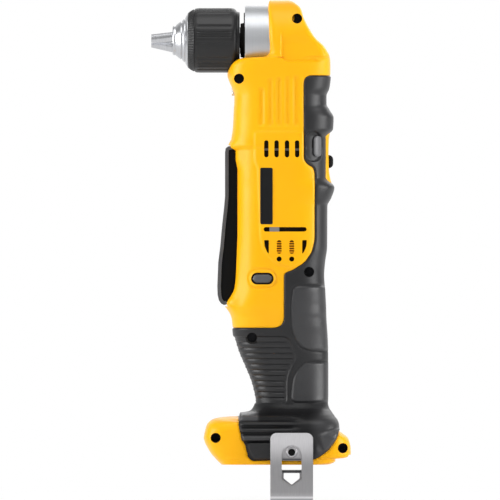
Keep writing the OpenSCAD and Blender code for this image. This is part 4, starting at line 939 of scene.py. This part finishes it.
class DRILL_OT_housing(Operator):
    """Yellow housing shells, upper body and foot, with their cuts."""
    bl_idname = "drill.housing"
    bl_label = "Housing shells"

    def execute(self, context):
        for side, word in SIDES:
            points, faces = shell(BODY_LOW, TOP_Z, side, yellow_relief)
            body = make_piece("body_shell_" + word, points, faces, "moulded_yellow_nylon")
            carve(body, shell_cuts(side))
            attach(body, "housing")
            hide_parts("housing_" + word)
            points, faces = shell(0, FOOT_HIGH, side, yellow_relief)
            foot = make_piece("foot_shell_" + word, points, faces, "moulded_yellow_nylon")
            cuts = [prism(ring_outline(HOOK_X, HOOK_SCREW_Z, HOOK_HOLE_R), *THROUGH, Y)]
            cuts.append(prism(BATTERY_SLOT, 0, 80, X))
            if side < 0:
                cuts += screw_holes(SCREWS[4:])
            carve(foot, cuts)
            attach(foot, "housing")
        return {"FINISHED"}


class DRILL_OT_rails(Operator):
    """Floor of the foot, a plate in the foot's own plan, with the slot and rails for the battery pack."""
    bl_idname = "drill.rails"
    bl_label = "Battery rails"

    def execute(self, context):
        inset = 1.3
        f, b, h, n = section_sizes(np.array(1.0))
        turn = np.linspace(0, 2 * np.pi, 120, endpoint=False)
        plan = np.stack(half_section(turn, f - inset, b - inset, h - inset, n, 1), 1)
        floor = make_piece("battery_rails", *prism(plan, 0.3, 9, Z), "moulded_yellow_nylon")
        carve(floor, [prism(BATTERY_SLOT, -33, 80, X)])
        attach(floor, "housing")
        return {"FINISHED"}


class DRILL_OT_wells(Operator):
    """Walls inside the openings: the trigger's well and the wells of the housing screws."""
    bl_idname = "drill.wells"
    bl_label = "Trigger and screw wells"

    def execute(self, context):
        # Trigger well: a U of three walls in plan, carried up the body.
        plan = [(-27, -15), (-19.6, -15), (-19.6, 15), (-27, 15), (-27, 13.7), (-21, 13.7), (-21, -13.7),
                (-27, -13.7)]
        points, faces = prism(plan, 98, 205, Z)
        make_piece("trigger_well", points, faces, "moulded_yellow_nylon", "housing", "yellow_plastic")
        # Screw wells: a tube from just under the skin down to the seat of the screw head, with a floor there.
        # Their black is painted shade.
        inner, outer, floor = RECESS_R - 0.25, RECESS_R + 0.9, 1.2
        wells = []
        for x, z, d in SCREWS:
            near = 0.5 - side_y(*ring_outline(x, z, inner, 32).T)
            far = np.maximum(near, 0.6 - side_y(*ring_outline(x, z, outer, 32).T))
            low = 0.4 - d
            rings = [(near, inner), (low, inner), (low, 0.05),
                     (low + floor, 0.05), (low + floor, outer), (far, outer)]
            wells.append(looped_rings([np.insert(ring_outline(x, z, r, 32), Y, y, axis=1) for y, r in rings]))
        make_piece("screw_wells", *joined(wells), "sooty_black_nylon", "housing", "black_plastic")
        return {"FINISHED"}


class DRILL_OT_vents(Operator):
    """What shows through the vents: rib, louvres, black sheets of painted shade and the brush tab."""
    bl_idname = "drill.vents"
    bl_label = "Pieces behind the vents"

    def execute(self, context):
        # Rib across the four upper vents of the left side.
        points, faces = prism(oval_outline((-12, 199.6), (14, 199.6), 0.7), -24.6, -23.4, Y)
        make_piece("vent_rib", points, faces, "moulded_grey_elastomer", "housing", "black_plastic")
        # Louvres across the two lower slots: short bars, one above the other, just under the skin.
        bars = []
        for x in LOW_VENTS_X:
            for z in np.arange(134.6, 141.5, 1.5):
                skin_y = float(side_y(x, z))
                bar = oval_outline((x - 1.7, z), (x + 1.7, z), 0.38, 6)
                bars += [prism(bar, side * (skin_y - 2.6), side * (skin_y - 0.9), Y) for side, _ in SIDES]
        make_piece("slot_louvres", *joined(bars), "moulded_yellow_nylon", "housing", "yellow_plastic")
        # Painted shade behind the vents: black plates, 0.6 mm thick, that follow the inner wall.
        x, z = np.meshgrid(np.linspace(-14, 20, 30), np.linspace(126.5, 209, 50))
        for side, word in SIDES:
            front = np.stack([x, side * (side_y(x, z) - 3.4), z], -1)
            points, faces = facing_sheets(front, front - [0, side * 0.6, 0])
            make_piece("dust_screen_" + word, points, faces, "sooty_black_nylon", "housing", "black_plastic")
        # Tab of the brush holder, seen through the long slot.
        tab = rounded([(-6.7, 147.4), (-0.5, 147.4), (-0.5, 150.6), (-6.7, 150.6)], 0.6)
        points, faces = prism(tab, -25.6, -22, Y)
        make_piece("brush_tab", points, faces, "drawn_steel", "housing", "bright_steel")
        return {"FINISHED"}


def rubber_sheet(side):
    """One half of the overmould: the skin with its relief, and the plain skin drawn in by the rubber's depth.

    Only faces within the rubber's edge are kept, and a rim of quads closes them along their open edges.
    """
    depth = bpy.context.scene.drill_grip.depth / MM
    columns = bpy.context.scene.drill_housing.columns + 1
    low, high, step = 0.6, 249, 0.5
    z = body_rows(low, high, step, 1)
    outer = skin(z, columns, side, rubber_relief).reshape(-1, 3)
    under = skin(z, columns, side, lambda x, y, z: 0 * x - depth).reshape(-1, 3)
    flat = skin(z, columns, side, lambda x, y, z: 0 * x).reshape(-1, 3)
    near = inside(flat[:, 0], flat[:, 2], rounded(RUBBER_EDGE, 2))
    faces = grid_faces(len(z), columns)
    faces = faces[(near[faces] > -1.1).any(1)]
    used, index = np.unique(faces, return_inverse=True)
    faces, n = index.reshape(-1, 4), len(used)
    edge = np.concatenate([faces[:, [i, (i + 1) % 4]] for i in range(4)])
    edge = edge[~np.isin(edge[:, 1] * n + edge[:, 0], edge[:, 0] * n + edge[:, 1])]
    rim = np.stack([edge[:, 1], edge[:, 0], edge[:, 0] + n, edge[:, 1] + n], 1)
    faces = np.concatenate([faces, faces[:, ::-1] + n, rim])
    return np.concatenate([outer[used], under[used]]), faces.tolist()


class DRILL_OT_grip(Operator):
    """Rubber overmould with ridges, pads, boot and thumb pocket, and the bars in the pocket."""
    bl_idname = "drill.grip"
    bl_label = "Rubber grip"

    def execute(self, context):
        for side, word in SIDES:
            points, faces = rubber_sheet(side)
            piece = make_piece("grip_" + word + "_rubber", points, faces, "overmoulded_black_elastomer")
            cuts = [prism(ring_outline(HOOK_X, HOOK_SCREW_Z, HOOK_HOLE_R), *THROUGH, Y)]
            cuts.append(prism(SELECTOR_WINDOW, 24, 60, X))
            if side < 0:
                cuts += [prism(ring_outline(x, height, RECESS_R), -80, 0, Y) for x, height, _ in SCREWS[2:4]]
            carve(piece, cuts)
            # The tone pales the pads and darkens the boot, with painted highlights on the boot and painted
            # shade around the pads.
            write_tone(piece, rubber_tone_and_painted_light)
            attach(piece, "housing")
            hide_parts("grip_" + word)
        # Bars in the thumb pocket: rings of one oval, crowned, laid on the skin. Their paler grey is partly the
        # bars' own colour and partly a painted highlight.
        reach = np.array([0.05, 0.5, 1.2, 1.8, 2.3, 2.6, 2.6])
        rise = np.append(0.9 * np.sqrt(1 - (reach[:-1] / 2.65) ** 2) - 0.5, -3.0)
        ovals = [oval_outline((23.9, 197.6), (23.9, 205.6), r) for r in reach]
        for side, word in SIDES:
            points, faces = stacked_rings([on_skin(oval, side, up) for oval, up in zip(ovals, rise)])
            make_piece("pocket_bar_" + word, points, faces, "moulded_grey_elastomer",
                       "housing", "black_rubber")
        return {"FINISHED"}


class DRILL_OT_trigger(Operator):
    """Paddle trigger: its side outline carried across the tool, with a finger strip along its front."""
    bl_idname = "drill.trigger"
    bl_label = "Paddle trigger"

    def execute(self, context):
        front = [
            (-30.2, 202), (-33, 201.6), (-34.5, 200.4), (-34.9, 198), (-34.9, 170), (-35.4, 164),
            (-36.9, 150), (-37.9, 138.4), (-39.2, 128), (-39.8, 113), (-39.6, 107.4), (-38.8, 104),
            (-37.2, 101.8), (-35.5, 101), (-33.6, 101.5)]
        back = [(-32.4, 103), (-30, 106.4), (-28.6, 108), (-21.6, 196), (-22.2, 199.4)]
        line = resample(front, 1.5)
        slope = np.gradient(line, axis=0)
        normal = np.stack([-slope[:, 1], slope[:, 0]], 1) / np.linalg.norm(slope, axis=1, keepdims=True)
        core = np.concatenate([line + 1.2 * normal, back])
        piece = make_piece("paddle", *prism(core, -12.2, 12.2, Y), "textured_black_nylon")
        soften(piece, width=1.0, segments=3, angle=60)
        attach(piece, "paddle")
        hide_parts("trigger_paddle")
        # Finger strip: the front line carried across the tool and thickened inwards by 2.3 mm.
        face = np.concatenate([line, (line + 2.3 * normal)[::-1]])
        piece = make_piece("paddle_strip", *prism(face, -13, 13, Y), "worn_grey_nylon")
        soften(piece, width=1.5, segments=5, angle=50)
        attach(piece, "paddle")
        return {"FINISHED"}


def sleeve_facets(x, r, turn):
    """Change of the sleeve's radius by place and angle.

    Twelve pads go around the barrel, every second one cut by three fine grooves, and the front ring has a
    knurl of 72 waves.
    """
    barrel = smooth(x, -53.5, -51) * (1 - smooth(x, -32.6, -30.2)) * (r > 20)
    # place counts the pads around the barrel, and near runs from -0.5 to 0.5 across each of them.
    place = (turn - radians(280)) / radians(30)
    near = (place + 0.5) % 1 - 0.5
    pad = -0.55 * smooth(np.abs(near), 0.34, 0.5)
    grooved = np.abs((place + 0.5) // 1 % 2) < 0.5
    fine = np.abs((near * 30 / 4.6 + 0.5) % 1 - 0.5)
    cut = -0.4 * (1 - smooth(fine, 0.08, 0.3)) * (np.abs(near) < 0.24) * grooved
    ring = smooth(x, -58, -57.4) * (1 - smooth(x, -55.6, -55)) * (r > 17.2)
    return barrel * (pad + cut) - 0.3 * ring * (0.5 + 0.5 * np.cos(72 * turn))


class DRILL_OT_chuck(Operator):
    """Chuck: fluted sleeve, turned body with the bores of the jaws, and the lip seal behind it, partly painted
    shade.
    """
    bl_idname = "drill.chuck"
    bl_label = "Chuck and seal"

    def execute(self, context):
        # Sleeve: a thin profile, turned about the spindle, with pads, grooves and a knurl.
        loop = [
            (-58.6, 16.75), (-58.6, 16.9), (-58.3, 17.4), (-57.2, 18.3), (-55.9, 19.15), (-54.7, 19.75),
            (-54.5, 19.45), (-54.1, 19.5), (-53.9, 20.05), (-52.6, 20.4), (-51, 20.5), (-30.6, 20.5),
            (-29, 20.1), (-27.9, 19.2), (-27.5, 18.3), (-26, 18), (-25.6, 17.6), (-25.6, 8.5), (-27.4, 8.5),
            (-27.4, 16.75)]
        points, faces = revolve_x(resample(loop, 0.8, closed=True), 576, sleeve_facets)
        make_piece("sleeve_barrel", points, faces, "glass_filled_black_nylon", "sleeve", "chuck_plastic",
                   ["chuck_sleeve"])
        # Lip seal around the spindle in the gap behind the sleeve, with its flange on the gear case. It is
        # partly a real seal and partly painted shade that darkens the gap.
        lip = [(-25.1, 8.3), (-25.1, 10.7), (-23, 11.1), (-23, 17.6), (-22.3, 17.6), (-22.3, 8.3)]
        points, faces = revolve_x(rounded(lip, 0.25), 96)
        make_piece("neck_seal", points, faces, "sooty_black_nylon", "housing", "black_rubber")
        # Body: a turned profile, whose nose has two grooves.
        nose = np.array([
            (0, 5.2), (0, 8.4), (0.15, 8.9), (0.7, 9.4), (2, 9.4), (2.3, 9.75), (5.2, 12.1), (5.45, 12.1),
            (5.6, 11.6), (6, 11.6), (6.15, 12.5), (7.4, 13.9), (7.6, 13.9), (7.7, 13.4), (8.05, 13.4),
            (8.15, 14.6), (9.1, 16.2), (9.4, 16.6)])
        rear = [
            (-52.1, 16.6), (-52.1, 11.2), (-45.1, 11.2), (-45.1, 16.6), (-28, 16.6), (-28, 8), (-25.6, 8),
            (-25.6, 4.72), (-44.2, 4.72), (-44.2, 5.2)]
        points, faces = revolve_x(np.concatenate([nose + [-68.2, 0], rear]), 160)
        body = make_piece("chuck_core", points, faces, "ground_steel", crease=20)
        # Bores of the three jaws: cylinders that lean by 13 degrees towards the axis in front, and start just
        # off it at the tips of the jaws.
        lean, tip_x, off_axis, bore_r, length = radians(13), -81.7, 1.15, 3.42, 52
        turn = np.linspace(0, 2 * np.pi, 48, endpoint=False)[:, None]
        for around in (180, 60, -60):
            out = np.array([0, np.sin(radians(around)), np.cos(radians(around))])
            along = np.array([np.cos(lean), 0, 0]) + np.sin(lean) * out
            across = np.cross(along, [1, 0, 0]) / np.sin(lean)
            third = np.cross(along, across)
            start = np.array([tip_x, 0, SPINDLE_Z]) + off_axis * out
            ring = bore_r * (np.cos(turn) * across + np.sin(turn) * third)
            carve(body, [stacked_rings([start + ring, start + length * along + ring])], crease=20)
        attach(body, "spindle")
        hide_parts("chuck_body")
        return {"FINISHED"}


def hook_sheets():
    """Both faces of the belt hook's strip, as grids of points.

    A path goes down the inner leg, around the bend and up the outer leg. Each row lies straight across it,
    and each face lies half of the 2 mm thickness off it, along its normal.
    """
    inner_y, bend_r, bend_z = -38.3, 5, HOOK_LOW + 6
    bend = np.linspace(0, np.pi, 33)
    lean = 1.5 * np.linspace(0, 1, 34) ** 2
    path = np.concatenate([
        np.stack([np.full(30, inner_y), np.linspace(14.5, bend_z + 0.5, 30)], 1),
        np.stack([inner_y - bend_r + bend_r * np.cos(bend), bend_z - bend_r * np.sin(bend)], 1),
        np.stack([inner_y - 2 * bend_r + lean, np.linspace(bend_z + 0.5, 20.2, 34)], 1)])
    run = np.concatenate([[0], np.cumsum(np.linalg.norm(np.diff(path, axis=0), axis=1))])
    # Its corners are rounded in plan, by rows that lie closer and grow narrower towards both ends.
    corner, half_width, columns = 4, 13.5, 28
    close = corner * (1 - np.cos(np.linspace(0, np.pi / 2, 10)))
    fine = np.unique(np.concatenate([np.linspace(0, run[-1], 150), close, run[-1] - close]))
    path = np.stack([np.interp(fine, run, path[:, i]) for i in (0, 1)], 1)
    near = np.minimum(np.minimum(fine, run[-1] - fine), corner)
    half = half_width - corner + np.sqrt(np.clip(corner ** 2 - (corner - near) ** 2, 0, None))
    slope = np.gradient(path, fine, axis=0)
    normal = np.stack([slope[:, 1], -slope[:, 0]], 1) / np.linalg.norm(slope, axis=1, keepdims=True)
    x = HOOK_X + half[:, None] * np.linspace(-1, 1, columns)
    return [np.dstack([x, np.repeat((path + t * normal)[:, None], columns, 1)]) for t in (1, -1)]


def hook_cuts():
    """Solids cut out of the hook, each an outline seen from the side and carried through one leg."""
    half, middle = 6.3, [HOOK_X, 0]
    outer_leg, inner_leg = (-60, -45), (-44, -30)
    # Window with a round top and a pointed foot in the outer leg.
    t = np.linspace(0.15, np.pi - 0.15, 16)
    top = np.stack([half * np.cos(t), half + half * np.sin(t)], 1)
    window = np.concatenate([[(-half, -9), (0, -13.2), (half, -9), (half, half)], top, [(-half, half)]])
    # A slot, a pointed opening under it and the screw's hole in the inner leg.
    slot = [(-half, -3.2), (half, -3.2), (half, 2.6), (-half, 2.6)]
    point = [(-5, -8.6), (0, -12.6), (5, -8.6), (5, -5.2), (-5, -5.2)]
    return [prism(window + middle, *outer_leg, Y),
            prism(rounded(slot, 0.6) + middle, *inner_leg, Y),
            prism(rounded(point, 0.5) + middle, *inner_leg, Y),
            prism(ring_outline(HOOK_X, HOOK_SCREW_Z, 2.1), *inner_leg, Y)]


class DRILL_OT_hook(Operator):
    """Belt hook, with its screw and a dark disc of painted shade in the socket of the screw's head."""
    bl_idname = "drill.hook"
    bl_label = "Belt hook"

    def execute(self, context):
        hook = make_piece("hook_strip", *facing_sheets(*hook_sheets()), "zinc_plated_strip")
        carve(hook, hook_cuts())
        # Painted highlights towards the top and along the bend, and painted shade along the punched edges.
        write_tone(hook, hook_painted_light)
        soften(hook, width=0.45, segments=3, angle=50)
        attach(hook, "housing")
        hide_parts("belt_hook")
        # Socket: a dark disc of painted shade in the hole of the screw's head.
        points, faces = prism(ring_outline(HOOK_X, HOOK_SCREW_Z, 2.15), -40.4, -39.5, Y)
        make_piece("hook_screw_socket", points, faces, "sooty_black_nylon", "housing", "dark_steel")
        # Screw: rings (y, r) about its own axis, a pan head with a deep round socket.
        loop = [
            (-39.4, 0.05), (-39.4, 2.2), (-41.3, 2.3), (-41.5, 2.6), (-41.4, 3.2), (-40.9, 3.6),
            (-39.35, 3.6), (-39.35, 1.95), (-31.4, 1.95), (-31.4, 0.05)]
        rings = [np.insert(ring_outline(HOOK_X, HOOK_SCREW_Z, r, 48), Y, y, axis=1) for y, r in loop]
        screw = make_piece("hook_screw", *looped_rings(rings), "zinc_plated_strip", "housing", "dark_steel",
                           ["belt_hook_screw"])
        # The screw takes the hook's painted highlight at its own height.
        write_tone(screw, hook_painted_light)
        return {"FINISHED"}


class DRILL_OT_button(Operator):
    """Reverse button, through both sides of the tool, and a black collar of painted shade around it on each
    side.
    """
    bl_idname = "drill.button"
    bl_label = "Reverse button"

    def execute(self, context):
        # Button: rings of one oval carried across the tool, both caps moulded to the skin's own curve.
        cap = [(0.05, 0.35), (1.4, 0.33), (2.1, 0.25), (2.45, 0.0), (2.6, -0.5), (2.6, -4.0)]
        rings = []
        for side, levels in ((-1, cap), (1, cap[::-1])):
            for r, up in levels:
                oval = oval_outline((-3.2, 0), (3.2, 0), r) + BUTTON_AT
                rings.append(on_skin(oval, side, up))
        points, faces = stacked_rings(rings)
        make_piece("reverse_button", points, faces, "worn_grey_nylon", "button", "black_plastic",
                   ["direction_button"])
        # Collar, black as painted shade in the gap: an oval ring that follows the skin, 0.9 mm under it
        # and 4.1 mm deep.
        levels = ((2.5, -0.9), (4.2, -0.9), (4.2, -5), (2.5, -5))
        for side, word in SIDES:
            rings = [on_skin(oval_outline(*BUTTON_SLOT, r), side, up) for r, up in levels]
            points, faces = looped_rings(rings)
            make_piece("button_collar_" + word, points, faces, "sooty_black_nylon",
                       "housing", "black_plastic")
        return {"FINISHED"}


class DRILL_OT_selector(Operator):
    """Speed selector: its slider, and the saddle it slides in between the two rubber bumps."""
    bl_idname = "drill.selector"
    bl_label = "Speed selector"

    def execute(self, context):
        softened("speed_selector", "speed_slider", "textured_black_nylon", "selector",
                 width=3.0, segments=6, past=30)
        # Saddle: x over width and height, hollow between the bumps and lower to the sides, with a flat back.
        y, z = np.meshgrid(np.linspace(-1, 1, 49), np.linspace(177.5, 213.5, 81))
        hollow = monotone(z.ravel(), np.array([177, 181, 186, 196, 206, 210, 214.0]),
                          np.array([32.9, 32, 31.2, 30.9, 31.1, 31.7, 32.8])).reshape(z.shape)
        front = np.stack([hollow - 3.2 * np.abs(y) ** 5, y * 11, z], -1)
        back = front * [0, 1, 1] + [27.5, 0, 0]
        piece = make_piece("selector_saddle", *facing_sheets(front, back), "moulded_yellow_nylon")
        carve(piece, [prism(rounded([(-5, 187), (5, 187), (5, 202.8), (-5, 202.8)], 1.5), 20, 60, X)])
        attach(piece, "housing")
        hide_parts("selector_plate")
        return {"FINISHED"}


class DRILL_OT_plate(Operator):
    """Bare plate on the left side: rings of one rounded outline, shrunk to its middle, laid on the panel."""
    bl_idname = "drill.plate"
    bl_label = "Side plate"

    def execute(self, context):
        edge = rounded([(-12.6, 152.2), (-4.7, 152.2), (-4.7, 188), (-12.6, 188)], 1.2, steps=8)
        middle = edge.mean(0)
        share = np.concatenate([[0.02], np.linspace(0.1, 0.94, 12), [0.98, 1.0, 1.0]])[:, None, None]
        x, z = np.moveaxis(middle + (edge - middle)[None] * share, -1, 0)
        # It stands 0.35 mm over the side panel, falls off along its edge and ends in the panel.
        lift = np.concatenate([np.full(13, 0.35), [0.32, 0.2, -1.2]])[:, None]
        rise = context.scene.drill_housing.panel_rise / MM
        points, faces = stacked_rings(np.stack([x, -side_y(x, z) - rise - lift, z], -1))
        make_piece("bare_plate", points, faces, "gloss_black_film",
                   "housing", "black_plastic", ["name_plate"])
        return {"FINISHED"}


# The CAD nodes that are shown as they are, by finish.
NODE_FINISH = {
    "turned_aluminium": ("gear_case", "gearbox_sleeve"),
    "ground_steel": (
        "chuck_jaw_1", "chuck_jaw_2", "chuck_jaw_3", "front_bearing_outer", "front_bearing_inner",
        "front_bearing_balls", "motor_shaft", "paddle_pin", "paddle_spring"),
    "hobbed_steel": (
        "bevel_gear", "bevel_pinion", "second_carrier", "second_planets", "first_carrier", "shift_ring",
        "first_planet_1", "first_planet_2", "first_planet_3", "first_ring_gear", "motor_pinion"),
    "drawn_steel": ("motor_can",),
    "black_oxide_steel": ("housing_screws", "spindle", "chuck_screw"),
    "sintered_bronze": ("rear_bush", "pinion_bush", "motor_bushes"),
    "turned_brass": ("hook_inserts", "chuck_nut", "terminal_blades"),
    "drawn_copper": ("commutator",),
    "stacked_laminations": ("armature",),
    "sintered_ferrite": ("motor_magnets",),
    "pressed_carbon": ("carbon_brushes",),
    "extruded_red_insulation": ("motor_leads", "battery_leads"),
    "textured_black_nylon": (
        "motor_end_bell", "switch_body", "terminal_block", "cooling_fan", "switch_plunger"),
    "moulded_clear_lens": ("led_lens",),
}


class DRILL_OT_inner(Operator):
    """Finishes of the CAD pieces that are shown as they are."""
    bl_idname = "drill.inner"
    bl_label = "Finishes of the other pieces"

    def execute(self, context):
        for name, nodes in NODE_FINISH.items():
            for node in nodes:
                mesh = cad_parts[node].data
                mesh.materials.clear()
                mesh.materials.append(finish(name))
        return {"FINISHED"}


def add_camera(scene):
    """A long lens in front of the tool's left side, level, aimed at the middle of the picture."""
    s = scene.drill_stage
    lens = bpy.data.cameras.new("camera")
    lens.sensor_width = 36
    lens.lens = lens.sensor_width * s.distance / s.frame_width
    lens.clip_end = 50
    camera = bpy.data.objects.new("camera", lens)
    camera.location = (s.aim_x, -s.distance, s.aim_z)
    camera.rotation_euler = (radians(90), 0, 0)
    scene.collection.objects.link(camera)
    scene.camera = camera


def add_floor():
    """A square plate of 6 m, just under the hook."""
    square = np.array([(-1, -1), (1, -1), (1, 1), (-1, 1)]) * 3 / MM
    floor = make_piece("floor", *prism(square, HOOK_LOW - 5, HOOK_LOW - 0.2, Z), "pale_floor")


# Square lamps: name, place and aim in metres, width in metres, power in watts.
LAMPS = (
    ("left_window", (-1.5, -0.35, 0.45), (0, 0, 0.15), 0.9, 18),
    ("right_window", (1.5, -0.35, 0.4), (0, 0, 0.15), 0.9, 19),
    ("top_window", (0.0, -0.5, 1.5), (0, 0, 0.15), 1.0, 8),
    ("front_fill", (-0.2, -2.2, 0.9), (0, 0, 0.13), 1.2, 4),
    ("back_rim", (0.3, 1.4, 0.9), (0, 0, 0.15), 1.0, 4),
)


def add_lamps(scene):
    """The lamps, each tipped from straight down by its angle to the aim and then turned towards it."""
    for name, place, aim, size, power in LAMPS:
        lamp = bpy.data.lights.new(name, "AREA")
        lamp.size, lamp.energy = size, power
        light = bpy.data.objects.new(name, lamp)
        light.location = place
        x, y, z = np.subtract(aim, place)
        light.rotation_euler = (np.arctan2(np.hypot(x, y), -z), 0, np.arctan2(y, x) - np.pi / 2)
        scene.collection.objects.link(light)


def add_world(scene):
    """Soft light that grows with height, white to the camera, and white behind the tool for reflections."""
    world = bpy.data.worlds.new("studio")
    scene.world = world
    world.use_nodes = True
    tree = world.node_tree
    tree.nodes.clear()
    out = add(tree, "ShaderNodeOutputWorld")
    ray = add(tree, "ShaderNodeTexCoord").outputs["Generated"]
    way = add(tree, "ShaderNodeSeparateXYZ", Vector=ray).outputs
    level = add(tree, "ShaderNodeMapRange", {"From Min": 0.0, "To Min": 0.12, "To Max": 0.62}, Value=way["Z"])
    soft = add(tree, "ShaderNodeBackground", {"Color": (1, 1, 1, 1)}, Strength=level.outputs[0])
    behind = add(tree, "ShaderNodeMapRange", {"From Min": 0.5, "From Max": 0.95}, Value=way["Y"]).outputs[0]
    show_white(tree, soft.outputs[0], out.inputs["Surface"], "ShaderNodeBackground", None, behind)


class DRILL_OT_stage(Operator):
    """Camera, floor, lights and world."""
    bl_idname = "drill.stage"
    bl_label = "Stage"

    def execute(self, context):
        scene = context.scene
        scene.view_settings.view_transform = "Standard"
        add_camera(scene)
        add_floor()
        add_lamps(scene)
        add_world(scene)
        return {"FINISHED"}


OPERATORS = (
    DRILL_OT_housing, DRILL_OT_rails, DRILL_OT_wells, DRILL_OT_vents, DRILL_OT_grip, DRILL_OT_trigger,
    DRILL_OT_chuck, DRILL_OT_hook, DRILL_OT_button, DRILL_OT_selector, DRILL_OT_plate, DRILL_OT_inner,
    DRILL_OT_stage)
SETTINGS = {
    "drill_housing": HousingSettings, "drill_grip": GripSettings, "drill_finish": FinishSettings,
    "drill_stage": StageSettings}


class DRILL_PT_panel(Panel):
    """Lists the drill's settings and the operators that build it."""
    bl_label = "Right angle drill"
    bl_idname = "DRILL_PT_panel"
    bl_space_type = "VIEW_3D"
    bl_region_type = "UI"
    bl_category = "Drill"

    def draw(self, context):
        for attribute, group in SETTINGS.items():
            for key in group.__annotations__:
                self.layout.prop(getattr(context.scene, attribute), key)
        for operator in OPERATORS:
            self.layout.operator(operator.bl_idname)


def register():
    """Registers the settings, the operators and the panel, and gives every scene its settings."""
    for group in SETTINGS.values():
        bpy.utils.register_class(group)
    for operator in OPERATORS:
        bpy.utils.register_class(operator)
    bpy.utils.register_class(DRILL_PT_panel)
    for attribute, group in SETTINGS.items():
        setattr(bpy.types.Scene, attribute, PointerProperty(type=group))


def unregister():
    """Takes back what register did."""
    for attribute in SETTINGS:
        delattr(bpy.types.Scene, attribute)
    for cls in (DRILL_PT_panel, *OPERATORS, *SETTINGS.values()):
        bpy.utils.unregister_class(cls)


def main():
    register()
    for operator in OPERATORS:
        group, name = operator.bl_idname.split(".")
        getattr(getattr(bpy.ops, group), name)()


if __name__ == "__main__":
    main()
